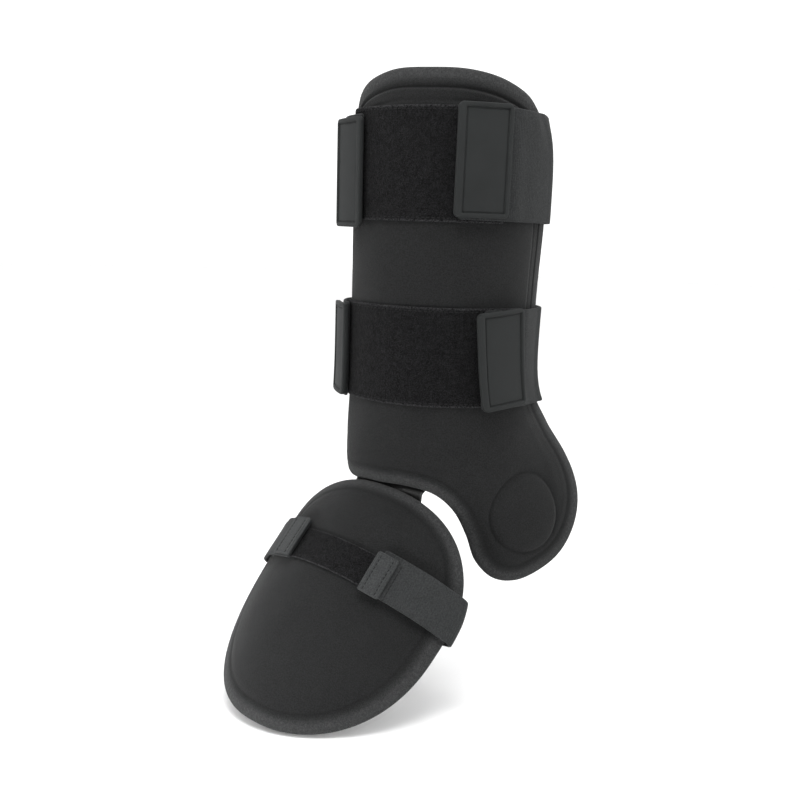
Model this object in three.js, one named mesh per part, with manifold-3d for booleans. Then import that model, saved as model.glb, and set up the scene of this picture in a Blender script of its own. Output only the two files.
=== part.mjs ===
// A batter's leg guard: a padded shin shell with an ankle flap, a hinged foot pad and three elastic straps.
// All lengths are in mm. The origin is on the axis of the leg, half-way up the shin shell.
// +Z is up the leg, -Y is the front of the shin and +X is the side of the ankle flap.
import * as THREE from 'three';
import createManifold from 'manifold-3d';

const kit = await createManifold();
kit.setup();
const { Manifold, Mesh: SolidMesh } = kit;

// Walls and layers
const GAP = 0.4;                      // air between pieces that lie on each other
const SHELL_WALL = 8;                 // foam wall of the raised bodies
const PANEL_THICK = 1.6;              // loop fabric
const STRAP_THICK = 2;                // elastic
const HINGE_THICK = 2;                // fabric strip between shin and foot
const TAB_THICK = 3.2;                // rubber tab with its frame
const TAB_FRAME = 3.4;                // width of the tab's raised frame
const TAB_RECESS = 0.9;               // depth of the panel inside the frame
const TAB_CORNER = 3.5;                 // rounding of the tab's corners
const SEWN_THICK = 1.6;               // sewn end of the foot strap

// Moulded edge of both pads
const RIM_ROUND = 1.2;                // rounding of the free edge
const FLANGE_DROP = 2.6;              // how far the flange lies below the raised body
const GROOVE_DROP = 3.6;              // how far the groove lies below the raised body

// Ankle dome on the flap, by its place on the flat pattern
const DOME = { s: 92, z: -151.5, radius: 26.5, rise: 2.4, groove: 1 };

// Calf straps: height of the band, sag from the outer to the inner end, ends and panel's end on the pattern
const UPPER_STRAP = { low: 41.5, high: 111.5, sag: 5, outerEnd: 36, innerEnd: -32, lower: 70 };
const LOWER_STRAP = { low: -79, high: -15, sag: 0, outerEnd: 55, innerEnd: -47, lower: 88 };
const STRAP_OUT = PANEL_THICK + 2 * GAP + 0.4;
const STRAP_SIDE = 0.7;               // height over the shell past the loop panel

// Way of a band behind the calf: turn from the front and how far it draws in
const CALF = [
  { turn: 128, draw: 0.5 }, { turn: 153, draw: 4 }, { turn: 180, draw: 6 }, { turn: 207, draw: 6 },
  { turn: 232, draw: 4 }, { turn: 258, draw: 0 },
];

// Foot pad, in its own frame: x across, -y to the toe, z away from the foot
const FOOT = { x: -8.5, y: -57.7, z: -127, pitch: 48, roll: 10, yaw: -15.5 };
const FOOT_LENGTH = 174;
const FOOT_WIDTH = 157;
const FOOT_EGG = -0.08;               // below zero the hinge half is the wider one
const FOOT_BLUNT = { hinge: 2.7, toe: 2.25 };  // exponents of the oval's halves, 2 for an ellipse
const FOOT_ARCH = 70;                 // radius of the arch across the foot
const FOOT_FLAT = { share: 0.74, until: 60 };   // the arch is lower at the hinge end
const FOOT_BOW = 412;                 // radius of the bow along the foot
const FOOT_CROWN = 75;                // where the bow is highest, from the hinge end

// Foot strap with its loop strip and sewn ends; along is the way from the hinge end
const FOOT_STRAP = { along: 59, slant: 1.5, width: 30, outerEnd: 29, innerEnd: -32, depth: 30 };
const FOOT_PANEL = { along: 61, slant: 2, width: 22.5, left: -48, right: 46 };
const FOOT_TABS = [
  { name: 'foot_tab_outer', from: 26, to: 39, along: 61.5, width: 28 },
  { name: 'foot_tab_inner', from: -48, to: -30, along: 59, width: 29 },
];

// Sections of the leg form: radius of the wrap, y of its centre and the turn after which it runs straight
const SECTIONS = [
  { z: -205, radius: 88, centre: 38, turn: 51 },
  { z: -160, radius: 80.5, centre: 28.5, turn: 57 },
  { z: -131, radius: 74.6, centre: 20.6, turn: 64 },
  { z: -95, radius: 67, centre: 11, turn: 76 },
  { z: -50, radius: 63.6, centre: 7.1, turn: 84 },
  { z: 70, radius: 65.3, centre: 8.8, turn: 83 },
  { z: 140, radius: 66.3, centre: 9.8, turn: 82 },
];

// Flat pattern of the shin shell, from the top's middle by the front's lower edge and the flap back to the top
const PATTERN = [
  { s: 16, z: 134 }, { s: -16, z: 132.8 }, { s: -51.5, z: 121.5 }, { s: -70.5, z: 99 },
  { s: -74, z: 60 }, { s: -74, z: -60 }, { s: -72.5, z: -112 }, { s: -58, z: -133.5 },
  { s: -24, z: -134 }, { s: 6, z: -133.5 }, { s: 26, z: -137.5 }, { s: 39.5, z: -148 },
  { s: 48.5, z: -164 }, { s: 55.5, z: -182 }, { s: 68.5, z: -194.5 }, { s: 87, z: -198 },
  { s: 108, z: -191.5 }, { s: 123, z: -181.5 }, { s: 136, z: -163.5 }, { s: 143, z: -140 },
  { s: 139.5, z: -115.5 }, { s: 128, z: -93.5 }, { s: 116, z: -70 }, { s: 117, z: -10 },
  { s: 120.5, z: 50 }, { s: 116, z: 95.5 }, { s: 98, z: 116 }, { s: 71, z: 127.5 }, { s: 44, z: 133 },
];

// Relief of a moulded edge: way in from the free edge and height against the raised body
const EDGE = [
  { inset: 0, out: -FLANGE_DROP - RIM_ROUND },
  { inset: 1.4, out: -FLANGE_DROP },
  { inset: 8.4, out: -FLANGE_DROP + 0.5 },
  { inset: 10.2, out: -GROOVE_DROP },
  { inset: 12, out: -1.6 },
  { inset: 15.5, out: 0 },
];
const INNER_EDGE = [
  { inset: 0, out: RIM_ROUND - SHELL_WALL },
  { inset: 1.4, out: -SHELL_WALL },
  { inset: 15.5, out: -SHELL_WALL },
];

const PANELS = [
  { name: 'upper_loop_panel', low: 39.5, high: 110.8, left: -48, right: 68 },
  { name: 'lower_loop_panel', low: -78, high: -14, left: -62, right: 86 },
];

// Rubber tabs: place on the pattern, size, tilt in their own plane and how far the free end opens
const TABS = [
  { name: 'upper_tab_outer', s: 49.5, z: 77.6, width: 36, height: 70, tilt: 0, open: 3 },
  { name: 'upper_tab_inner', s: -44.5, z: 69.5, width: 35.5, height: 70, tilt: 0, open: 4 },
  { name: 'lower_tab_outer', s: 66.5, z: -46.6, width: 38, height: 63.5, tilt: 5, open: 6 },
  { name: 'lower_tab_inner', s: -59, z: -47, width: 34.5, height: 62, tilt: 0, open: 4 },
];
const TAB_BEND = 110;                 // a tab is stiffer than the band under it

const FABRIC = 0x2e2f30;
const LOOP = 0x1c1c1e;
const ELASTIC = 0x333536;
const RUBBER = 0x414445;

const { clamp, degToRad, lerp, smoothstep } = THREE.MathUtils;

// Value of one column of the sections at a height, eased through the rows
function section(column, z) {
  const last = SECTIONS.length - 1;
  const at = clamp(z, SECTIONS[0].z, SECTIONS[last].z);
  const above = SECTIONS.findIndex((row) => row.z >= at);
  const i = clamp(above - 1, 0, last - 1);
  const [a, b] = [SECTIONS[i], SECTIONS[i + 1]];
  const before = SECTIONS[Math.max(0, i - 1)];
  const after = SECTIONS[Math.min(last, i + 2)];
  const span = b.z - a.z;
  const t = (at - a.z) / span;
  const startSlope = ((b[column] - before[column]) / (b.z - before.z)) * span;
  const endSlope = ((after[column] - a[column]) / (after.z - a.z)) * span;
  const stay = (1 + 2 * t) * (1 - t) ** 2;
  return stay * a[column] + t * (1 - t) ** 2 * startSlope + (1 - stay) * b[column] + t * t * (t - 1) * endSlope;
}

// Point on the leg form, at an arc length from the front line, a height and a way out from the body's face
function wrap(s, z, out) {
  const radius = section('radius', z);
  const turn = degToRad(section('turn', z));
  const angle = Math.min(s / radius, turn);
  const straight = Math.max(0, s - radius * turn);
  return new THREE.Vector3(
    (radius + out) * Math.sin(angle) + straight * Math.cos(angle),
    section('centre', z) - (radius + out) * Math.cos(angle) + straight * Math.sin(angle),
    z,
  );
}

// Share of the full arch at a way from the hinge end
function archShare(along) {
  return lerp(FOOT_FLAT.share, 1, smoothstep(along, 0, FOOT_FLAT.until));
}

// Height of the foot pad's raised face in the foot's frame
function footHeight(x, along) {
  const arch = archShare(along) * FOOT_ARCH * (Math.cos(x / FOOT_ARCH) - 1);
  return arch - (along - FOOT_CROWN) ** 2 / (2 * FOOT_BOW);
}

// Point of the foot pad, a way out from the raised face along its normal
function footPoint(x, along, out) {
  const slopeAcross = -archShare(along) * Math.sin(x / FOOT_ARCH);
  const slopeAlong = -(along - FOOT_CROWN) / FOOT_BOW;
  const normal = new THREE.Vector3(-slopeAcross, slopeAlong, 1).normalize();
  return new THREE.Vector3(x, -along, footHeight(x, along)).addScaledVector(normal, out);
}

// Half the width of the foot pad at a way from the hinge end
function footHalfWidth(along) {
  const t = (2 * along) / FOOT_LENGTH - 1;
  const blunt = t < 0 ? FOOT_BLUNT.hinge : FOOT_BLUNT.toe;
  return (1 - Math.abs(t) ** blunt) ** (1 / blunt) * (1 + FOOT_EGG * t) * (FOOT_WIDTH / 2);
}

// Closed geometry from points and index triples
function geometryFrom(points, triples) {
  const geometry = new THREE.BufferGeometry();
  geometry.setAttribute('position', new THREE.Float32BufferAttribute(points.flatMap((p) => p.toArray()), 3));
  geometry.setIndex(triples.flat());
  return geometry;
}

// Outline points moved inward by a distance
function insetOutline(points, distance) {
  return points.map((point, i) => {
    const before = points[(i + points.length - 1) % points.length];
    const after = points[(i + 1) % points.length];
    const along = after.clone().sub(before).normalize();
    return point.clone().add(new THREE.Vector2(-along.y, along.x).multiplyScalar(distance));
  });
}

// One face of a pad: rings follow the outline, and rows from its left to its right side fill the middle
function padFace(outline, edge, columns) {
  const count = outline.length;
  const half = count / 2;
  const points = edge.flatMap(({ inset, out }) => insetOutline(outline, inset).map((p) => ({ p, out })));
  const inmost = (edge.length - 1) * count;
  const triples = [];
  for (let k = 0; k + 1 < edge.length; k += 1) {
    for (let i = 0; i < count; i += 1) {
      const next = (i + 1) % count;
      const [a, b] = [k * count + i, k * count + next];
      triples.push([a, b, b + count], [a, b + count, a + count]);
    }
  }
  const rows = [[inmost]];
  for (let j = 1; j < half; j += 1) {
    const [left, right] = [inmost + j, inmost + count - j];
    const row = [left];
    for (let m = 1; m < columns; m += 1) {
      const p = points[left].p.clone().lerp(points[right].p, m / columns);
      row.push(points.push({ p, out: edge[edge.length - 1].out }) - 1);
    }
    rows.push([...row, right]);
  }
  rows.push([inmost + half]);
  for (let j = 0; j < half; j += 1) {
    const [upper, lower] = [rows[j], rows[j + 1]];
    for (let m = 0; m < columns; m += 1) {
      if (upper.length === 1) {
        triples.push([upper[0], lower[m], lower[m + 1]]);
      } else if (lower.length === 1) {
        triples.push([upper[m], lower[0], upper[m + 1]]);
      } else {
        triples.push([upper[m], lower[m], lower[m + 1]], [upper[m], lower[m + 1], upper[m + 1]]);
      }
    }
  }
  return { points, triples };
}

// Pad with an outer and an inner face that meet along the free edge
function pad(outline, outerEdge, innerEdge, columns, place) {
  const outer = padFace(outline, outerEdge, columns);
  const inner = padFace(outline, innerEdge, columns);
  const shift = outer.points.length;
  const points = [...outer.points, ...inner.points].map(({ p, out }) => place(p.x, p.y, out));
  const backs = inner.triples.map(([a, b, c]) => [a + shift, c + shift, b + shift]);
  const walls = outline.flatMap((_, i) => {
    const next = (i + 1) % outline.length;
    return [[i, i + shift, next + shift], [i, next + shift, next]];
  });
  return geometryFrom(points, [...outer.triples, ...backs, ...walls]);
}

// Sheet on a grid of cells; the face functions give a place at fractions along and across
function sheet(cellsAlong, cellsAcross, outerFace, innerFace) {
  const points = [];
  const stride = cellsAcross + 1;
  for (const face of [outerFace, innerFace]) {
    for (let i = 0; i <= cellsAlong; i += 1) {
      for (let j = 0; j <= cellsAcross; j += 1) {
        points.push(face(i / cellsAlong, j / cellsAcross));
      }
    }
  }
  const shift = points.length / 2;
  const triples = [];
  const quad = (a, b, c, d) => triples.push([a, b, c], [a, c, d]);
  for (let i = 0; i < cellsAlong; i += 1) {
    const low = i * stride;
    const high = low + cellsAcross;
    for (let a = low; a < high; a += 1) {
      quad(a, a + stride, a + stride + 1, a + 1);
      quad(a + shift, a + 1 + shift, a + stride + 1 + shift, a + stride + shift);
    }
    quad(low, low + shift, low + stride + shift, low + stride);
    quad(high, high + stride, high + stride + shift, high + shift);
  }
  for (let j = 0; j < cellsAcross; j += 1) {
    const end = cellsAlong * stride + j;
    quad(j, j + 1, j + 1 + shift, j + shift);
    quad(end, end + shift, end + 1 + shift, end + 1);
  }
  return geometryFrom(points, triples);
}

// Geometry as a solid that can be joined and cut, and back
function toSolid(geometry) {
  return new Manifold(new SolidMesh({
    numProp: 3,
    vertProperties: geometry.getAttribute('position').array,
    triVerts: new Uint32Array(geometry.getIndex().array),
  }));
}

function fromSolid(solid) {
  const mesh = solid.getMesh();
  const geometry = new THREE.BufferGeometry();
  geometry.setAttribute('position', new THREE.BufferAttribute(mesh.vertProperties, 3));
  geometry.setIndex(new THREE.BufferAttribute(mesh.triVerts, 1));
  return geometry;
}

// Ring or disc on the shin's face, turned from a profile of radius and height; a radius of 0 is its middle
function wrappedLathe(profile, place, segments) {
  const points = [];
  const rings = profile.map(({ radius, out }) => {
    const start = points.length;
    const count = radius > 0 ? segments : 1;
    for (let i = 0; i < count; i += 1) {
      const angle = (i / segments) * 2 * Math.PI;
      points.push(wrap(place.s + radius * Math.cos(angle), place.z + radius * Math.sin(angle), out));
    }
    return (i) => start + (i % count);
  });
  const triples = rings.flatMap((ring, k) => {
    const after = rings[(k + 1) % rings.length];
    return Array.from({ length: segments }, (_, i) => [
      [ring(i), ring(i + 1), after(i + 1)],
      [ring(i), after(i + 1), after(i)],
    ]).flat();
  });
  return geometryFrom(points, triples.filter(([a, b, c]) => a !== b && b !== c && c !== a));
}

const shinOutline = new THREE.CatmullRomCurve3(
  PATTERN.map(({ s, z }) => new THREE.Vector3(s, z, 0)),
  true,
  'centripetal',
).getSpacedPoints(82).slice(0, 82).map(({ x, y }) => new THREE.Vector2(x, y));

// Shortest way from a place on the pattern to the free edge
function wayToEdge(s, z) {
  const at = new THREE.Vector3(s, z, 0);
  const ways = shinOutline.map((a, i) => {
    const b = shinOutline[(i + 1) % shinOutline.length];
    const line = new THREE.Line3(new THREE.Vector3(a.x, a.y, 0), new THREE.Vector3(b.x, b.y, 0));
    return line.closestPointToPoint(at, true, new THREE.Vector3()).distanceTo(at);
  });
  return Math.min(...ways);
}

// Where the free edge on the flap's side crosses a height
function sideAt(z) {
  const crossings = shinOutline.flatMap((a, i) => {
    const b = shinOutline[(i + 1) % shinOutline.length];
    return (a.y - z) * (b.y - z) <= 0 && a.y !== b.y ? [lerp(a.x, b.x, (z - a.y) / (b.y - a.y))] : [];
  });
  return Math.max(...crossings);
}

// Shin shell with the groove of the ankle dome cut out and the dome joined on
function shinShell() {
  const { radius, rise, groove } = DOME;
  const body = pad(shinOutline, EDGE, INNER_EDGE, 14, wrap);
  const ring = wrappedLathe([
    { radius: radius - 1, out: 3 },
    { radius: radius - 1, out: -groove },
    { radius: radius + 1.4, out: -groove },
    { radius: radius + 3.4, out: 3 },
  ], DOME, 28);
  const dome = wrappedLathe([
    { radius: 0, out: -3 },
    { radius, out: -3 },
    { radius, out: rise * 0.2 },
    { radius: radius * 0.92, out: rise * 0.6 },
    { radius: radius * 0.7, out: rise * 0.88 },
    { radius: 0, out: rise },
  ], DOME, 28);
  return fromSolid(toSolid(body).subtract(toSolid(ring)).add(toSolid(dome)));
}

// Loop panel that lies on the raised body and dips on to the flange
function shinPanel({ low, high, left, right }) {
  const face = (lift) => (u, v) => {
    const s = lerp(left, right, u);
    const z = lerp(low, high, v);
    const onBody = clamp((wayToEdge(s, z) - 3) / 7, 0, 1);
    return wrap(s, z, GAP + lift - (1 - onBody) * (FLANGE_DROP - 0.6));
  };
  return sheet(18, 4, face(PANEL_THICK), face(0));
}

// Even steps from one value to another, with both ends
function steps(from, to, count) {
  return Array.from({ length: count + 1 }, (_, i) => lerp(from, to, i / count));
}

// Plan curve through points in one plane
function planCurve(points) {
  return new THREE.CatmullRomCurve3(points.map(({ x, y }) => new THREE.Vector3(x, y, 0)), false, 'centripetal');
}

// Band along plan curves: the curve and the place of its points may change across the band
function band(cells, rows, thick, curveAt, placeAt) {
  const curves = steps(0, 1, rows).map(curveAt);
  const face = (side) => (u, v) => {
    const curve = curves[Math.round(v * rows)];
    const p = curve.getPointAt(u);
    const t = curve.getTangentAt(u);
    return placeAt(p.x + t.y * side, p.y - t.x * side, u, v);
  };
  return sheet(cells, rows, face(thick / 2), face(-thick / 2));
}

// Elastic band from its outer end over the shell's edge, round the calf and up to its inner end
function calfStrap({ low, high, sag, outerEnd, innerEnd, lower }) {
  const curveAt = (v) => {
    const z = lerp(low, high, v);
    const radius = section('radius', z);
    const centre = section('centre', z);
    const side = sideAt(z);
    const onShell = (at) => {
      const onFlange = at > 0 ? 1 - smoothstep(wayToEdge(at, z), 2, 13) : 0;
      const out = lerp(STRAP_OUT, STRAP_SIDE, smoothstep(at, lower, lower + 16));
      return wrap(at, z, out + STRAP_THICK / 2 - onFlange * (FLANGE_DROP - 0.6));
    };
    const onCalf = ({ turn, draw }) => {
      const r = radius - draw;
      return new THREE.Vector2(r * Math.sin(degToRad(turn)), centre - r * Math.cos(degToRad(turn)));
    };
    return planCurve([
      ...steps(outerEnd, side, 9).map(onShell),
      ...CALF.map(onCalf),
      ...steps(-84, innerEnd, 5).map(onShell),
    ]);
  };
  const placeAt = (x, y, u, v) => new THREE.Vector3(x, y, lerp(low, high, v) - sag * u);
  return band(46, 4, STRAP_THICK, curveAt, placeAt);
}

// Rounded rectangle as evenly spaced points that start at the middle of its top
function tabOutline(width, height) {
  const [x, y] = [width / 2 - TAB_CORNER, height / 2 - TAB_CORNER];
  const shape = new THREE.Shape().moveTo(0, y + TAB_CORNER);
  shape.absarc(-x, y, TAB_CORNER, degToRad(90), degToRad(180));
  shape.absarc(-x, -y, TAB_CORNER, degToRad(180), degToRad(270));
  shape.absarc(x, -y, TAB_CORNER, degToRad(270), degToRad(360));
  shape.absarc(x, y, TAB_CORNER, 0, degToRad(90));
  return shape.closePath().getSpacedPoints(30).slice(0, 30);
}

// Rubber tab on a strap, with a raised frame
function rubberTab({ s, z, width, height, tilt, open }) {
  const angle = s / section('radius', z);
  const opened = angle + degToRad(open);
  const onBand = STRAP_OUT + STRAP_THICK + GAP;
  const half = width / 2;
  const flatter = 0.5 / (section('radius', z) + onBand) - 0.5 / TAB_BEND;
  const lifted = half * Math.sin(degToRad(Math.abs(open))) - half ** 2 * flatter;
  const seat = onBand + Math.max(0.2, lifted + 0.2);
  const normal = new THREE.Vector3(Math.sin(opened), -Math.cos(opened), 0);
  const tangent = new THREE.Vector3(Math.cos(opened), Math.sin(opened), 0);
  const place = (x, y, out) => {
    const p = new THREE.Vector2(x, y).rotateAround(new THREE.Vector2(), degToRad(tilt));
    const bent = p.x / TAB_BEND;
    const point = wrap(angle * section('radius', z + p.y), z + p.y, seat);
    point.addScaledVector(tangent, (TAB_BEND + out) * Math.sin(bent));
    return point.addScaledVector(normal, (TAB_BEND + out) * Math.cos(bent) - TAB_BEND);
  };
  const frame = [
    { inset: 0, out: TAB_THICK - 0.9 },
    { inset: 0.9, out: TAB_THICK },
    { inset: TAB_FRAME, out: TAB_THICK },
    { inset: TAB_FRAME + 0.9, out: TAB_THICK - TAB_RECESS },
  ];
  return pad(tabOutline(width, height), frame, [{ inset: 0, out: 0 }], 4, place);
}

// Blunt oval of the foot pad, from the hinge end round by the toe
function footOutline(count) {
  return Array.from({ length: count }, (_, i) => {
    const angle = (i / count) * 2 * Math.PI;
    const power = 2 / (Math.cos(angle) > 0 ? FOOT_BLUNT.hinge : FOOT_BLUNT.toe);
    const blunt = (value) => Math.sign(value) * Math.abs(value) ** power;
    const t = -blunt(Math.cos(angle));
    const x = -blunt(Math.sin(angle)) * (1 + FOOT_EGG * t) * (FOOT_WIDTH / 2);
    return new THREE.Vector2(x, -(1 + t) * (FOOT_LENGTH / 2));
  });
}

function footShell() {
  return pad(footOutline(52), EDGE, INNER_EDGE, 11, (x, y, out) => footPoint(x, -y, out));
}

// Patch of cloth on the foot pad's face
function footPatch({ from, to, along, slant, width, out, thick, cells }) {
  const face = (lift) => (u, v) => {
    const x = lerp(from, to, u);
    return footPoint(x, along + (0.5 - v) * width + (slant * x) / 90, out + lift);
  };
  return sheet(cells, 3, face(thick), face(0));
}

// Foot elastic from its outer end over the edge, under the foot and up to its inner end
function footStrap() {
  const { along, slant, width, outerEnd, innerEnd, depth } = FOOT_STRAP;
  const seat = PANEL_THICK + 2.5 * GAP + STRAP_THICK / 2;
  const onFlange = STRAP_THICK / 2 + GAP - FLANGE_DROP;
  const wayAt = (v) => along + (v - 0.5) * width;
  const curveAt = (v) => {
    const edge = footHalfWidth(wayAt(v)) + 0.4;
    const rim = footHeight(edge, wayAt(v));
    const over = (x) => {
      const dip = smoothstep(Math.abs(x), edge - 19, edge);
      const p = footPoint(x, wayAt(v), lerp(seat, onFlange, dip));
      return new THREE.Vector2(p.x, p.z);
    };
    const under = (f) => new THREE.Vector2(f * edge, rim - 11 - depth * (1 - (f / 0.9) ** 2));
    return planCurve([
      ...steps(outerEnd, edge, 5).map(over),
      new THREE.Vector2(edge - 0.4, rim - 5.5),
      ...steps(0.9, -0.9, 8).map(under),
      new THREE.Vector2(0.4 - edge, rim - 5.5),
      ...steps(-edge, innerEnd, 5).map(over),
    ]);
  };
  const placeAt = (x, height, u, v) => new THREE.Vector3(x, -wayAt(v) - (slant * x) / 90, height);
  return band(44, 2, STRAP_THICK, curveAt, placeAt);
}

// Fabric strip from the inside of the shin's lower edge to the underside of the foot pad
function footHinge(foot) {
  const face = (lift) => {
    const depth = -SHELL_WALL - 4 * GAP - lift;
    return (u, v) => {
      const [s, x] = [lerp(-54, 20, v), lerp(-36, 28, v)];
      const curve = new THREE.CatmullRomCurve3([
        wrap(s, -117, depth),
        wrap(s, -133, depth),
        foot.localToWorld(footPoint(x, 7, depth - 1)),
        foot.localToWorld(footPoint(x, 21, depth)),
      ]);
      return curve.getPoint(u);
    };
  };
  return sheet(9, 6, face(0), face(HINGE_THICK));
}

function piece(name, geometry, color, roughness) {
  const mesh = new THREE.Mesh(geometry, new THREE.MeshStandardMaterial({ color, roughness, metalness: 0 }));
  mesh.name = name;
  return mesh;
}

const guard = new THREE.Group();
guard.name = 'leg_guard';
const foot = new THREE.Group();
foot.name = 'foot';
foot.position.set(FOOT.x, FOOT.y, FOOT.z);
foot.rotation.set(degToRad(FOOT.pitch), degToRad(FOOT.roll), degToRad(FOOT.yaw), 'ZXY');
foot.updateMatrixWorld();

guard.add(piece('shin_shell', shinShell(), FABRIC, 0.85));
PANELS.forEach((row) => guard.add(piece(row.name, shinPanel(row), LOOP, 1)));
guard.add(piece('upper_strap', calfStrap(UPPER_STRAP), ELASTIC, 0.8));
guard.add(piece('lower_strap', calfStrap(LOWER_STRAP), ELASTIC, 0.8));
TABS.forEach((row) => guard.add(piece(row.name, rubberTab(row), RUBBER, 0.55)));
guard.add(piece('foot_hinge', footHinge(foot), FABRIC, 0.9));

const { left: from, right: to } = FOOT_PANEL;
foot.add(piece('foot_shell', footShell(), FABRIC, 0.85));
foot.add(piece(
  'foot_loop_panel',
  footPatch({ ...FOOT_PANEL, from, to, out: GAP, thick: PANEL_THICK, cells: 14 }),
  LOOP,
  1,
));
foot.add(piece('foot_strap', footStrap(), ELASTIC, 0.8));
const sewn = { slant: FOOT_STRAP.slant, out: PANEL_THICK + STRAP_THICK + 3.5 * GAP + 0.2 };
FOOT_TABS.forEach((row) => {
  foot.add(piece(row.name, footPatch({ ...row, ...sewn, thick: SEWN_THICK, cells: 3 }), ELASTIC, 0.8));
});
guard.add(foot);

export default guard;
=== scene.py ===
"""A batter's leg guard: padded shells, loop panels, elastic straps and rubber tabs. Lengths are in mm."""

import logging
from collections.abc import Callable, Iterator, Sequence
from dataclasses import dataclass, field
from enum import Enum

import bpy
import numpy as np
from mathutils import Matrix, Vector


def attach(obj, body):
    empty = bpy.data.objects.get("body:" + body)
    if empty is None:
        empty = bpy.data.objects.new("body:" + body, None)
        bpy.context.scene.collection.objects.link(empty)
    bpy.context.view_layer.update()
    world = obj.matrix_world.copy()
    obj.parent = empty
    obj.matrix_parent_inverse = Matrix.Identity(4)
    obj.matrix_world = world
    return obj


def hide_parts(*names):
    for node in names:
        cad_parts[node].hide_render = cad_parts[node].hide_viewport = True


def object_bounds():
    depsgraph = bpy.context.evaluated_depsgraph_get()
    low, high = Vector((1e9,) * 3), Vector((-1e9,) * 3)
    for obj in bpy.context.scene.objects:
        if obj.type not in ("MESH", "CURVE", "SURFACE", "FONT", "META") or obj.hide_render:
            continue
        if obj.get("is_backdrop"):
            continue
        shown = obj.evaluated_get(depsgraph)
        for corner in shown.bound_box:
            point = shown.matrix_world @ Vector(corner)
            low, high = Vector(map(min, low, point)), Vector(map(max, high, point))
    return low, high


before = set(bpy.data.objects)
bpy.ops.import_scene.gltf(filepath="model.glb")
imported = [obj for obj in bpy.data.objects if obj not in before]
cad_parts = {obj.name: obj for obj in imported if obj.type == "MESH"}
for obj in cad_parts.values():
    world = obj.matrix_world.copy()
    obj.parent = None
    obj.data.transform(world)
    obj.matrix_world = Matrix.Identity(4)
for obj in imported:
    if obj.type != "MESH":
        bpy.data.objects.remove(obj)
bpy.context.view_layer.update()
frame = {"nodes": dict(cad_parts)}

Array = np.ndarray
Place = Callable[[Array, Array, Array], Array]
Relief = Callable[[Array, Array], Array]
Shade = Callable[[Array, Array, Array], Array]
Colour = tuple[float, float, float]
Pair = tuple[float, float]
Profile = Sequence[Pair]

LOG = logging.getLogger("leg_guard")
MM = 0.001
BODY = "root"

GAP = 0.4
SHELL_WALL = 8.0
PANEL_THICK = 1.6
STRAP_THICK = 2.0
HINGE_THICK = 2.0
SEWN_THICK = 1.6
FLANGE_DROP = 2.6
FLANGE_DIP = 2.0
STRAP_SEAT = PANEL_THICK + 2.5 * GAP
SEWN_SEAT = PANEL_THICK + STRAP_THICK + 3.5 * GAP + 0.2
BOND_SPARE = 4.0
DEEP_INSET = 30.0
BODY_INSET = (12.0, 16.0)
EDGE_BAND = (0.8, 7.5)
EDGE_PITCH = 2.4

FINE_STEPS = 24
ARC_STEPS = 20
LINE_STEP = 0.2
COARSE_STEP = 2.0
EDGE_CELLS = 700
EDGE_BATCHES = 40
OUTLINE_STEPS = 4000
RIPPLE_WAVES = 9
RIPPLE_SPREAD = (0.6, 1.6)


class Slot(Enum):
    """Material slots of the part's record."""

    FABRIC = "fabric"
    LOOP = "loop"
    ELASTIC = "elastic"
    RUBBER = "rubber"


class Face(Enum):
    """Side of a pad or sheet, as its points keep it."""

    OUTER = 1.0
    INNER = 0.0


def smooth(value: Array, low: float | Array, high: float | Array) -> Array:
    """Returns shares that ease from 0, where a value is low, to 1, where it is high."""
    t = np.clip((value - low) / (high - low), 0, 1)
    return t * t * (3 - 2 * t)


def blend(a: float | Array, b: float | Array, share: Array) -> Array:
    """Returns the value that lies a share of the way from a to b."""
    return a + (b - a) * share


def bell(value: Array, middle: float, reach: float) -> Array:
    """Returns a soft bump that is 1 at its middle and fades within a few reaches."""
    return np.exp(-((value - middle) / reach) ** 2)


def unit(vectors: Array) -> Array:
    """Returns vectors at length 1; each is a row of the last axis."""
    return vectors / np.linalg.norm(vectors, axis=-1)[..., None]


def eased_span(a: Array, b: Array, start: Array, end: Array, t: Array) -> Array:
    """Returns the cubic from a to b at shares t; start and end are its slopes, over the whole span."""
    stay = (1 + 2 * t) * (1 - t) ** 2
    return stay * a + (1 - stay) * b + t * (1 - t) ** 2 * start + t * t * (t - 1) * end


def eased_rows(knots: Sequence[float], values: Sequence[float], at: Array) -> Array:
    """Reads a smooth curve through the rows of a table.

    Args:
        knots: rising places of the rows
        values: one column of the table
        at: places to read

    Returns:
        Values there, held beyond the first and last row.
    """
    x, v = np.asarray(knots, float), np.asarray(values, float)
    rows = np.arange(len(x))
    before, after = np.maximum(rows - 1, 0), np.minimum(rows + 1, len(x) - 1)
    slopes = (v[after] - v[before]) / (x[after] - x[before])
    place = np.clip(at, x[0], x[-1])
    i = np.clip(np.searchsorted(x, place) - 1, 0, len(x) - 2)
    span = x[i + 1] - x[i]
    return eased_span(v[i], v[i + 1], slopes[i] * span, slopes[i + 1] * span, (place - x[i]) / span)


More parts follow.
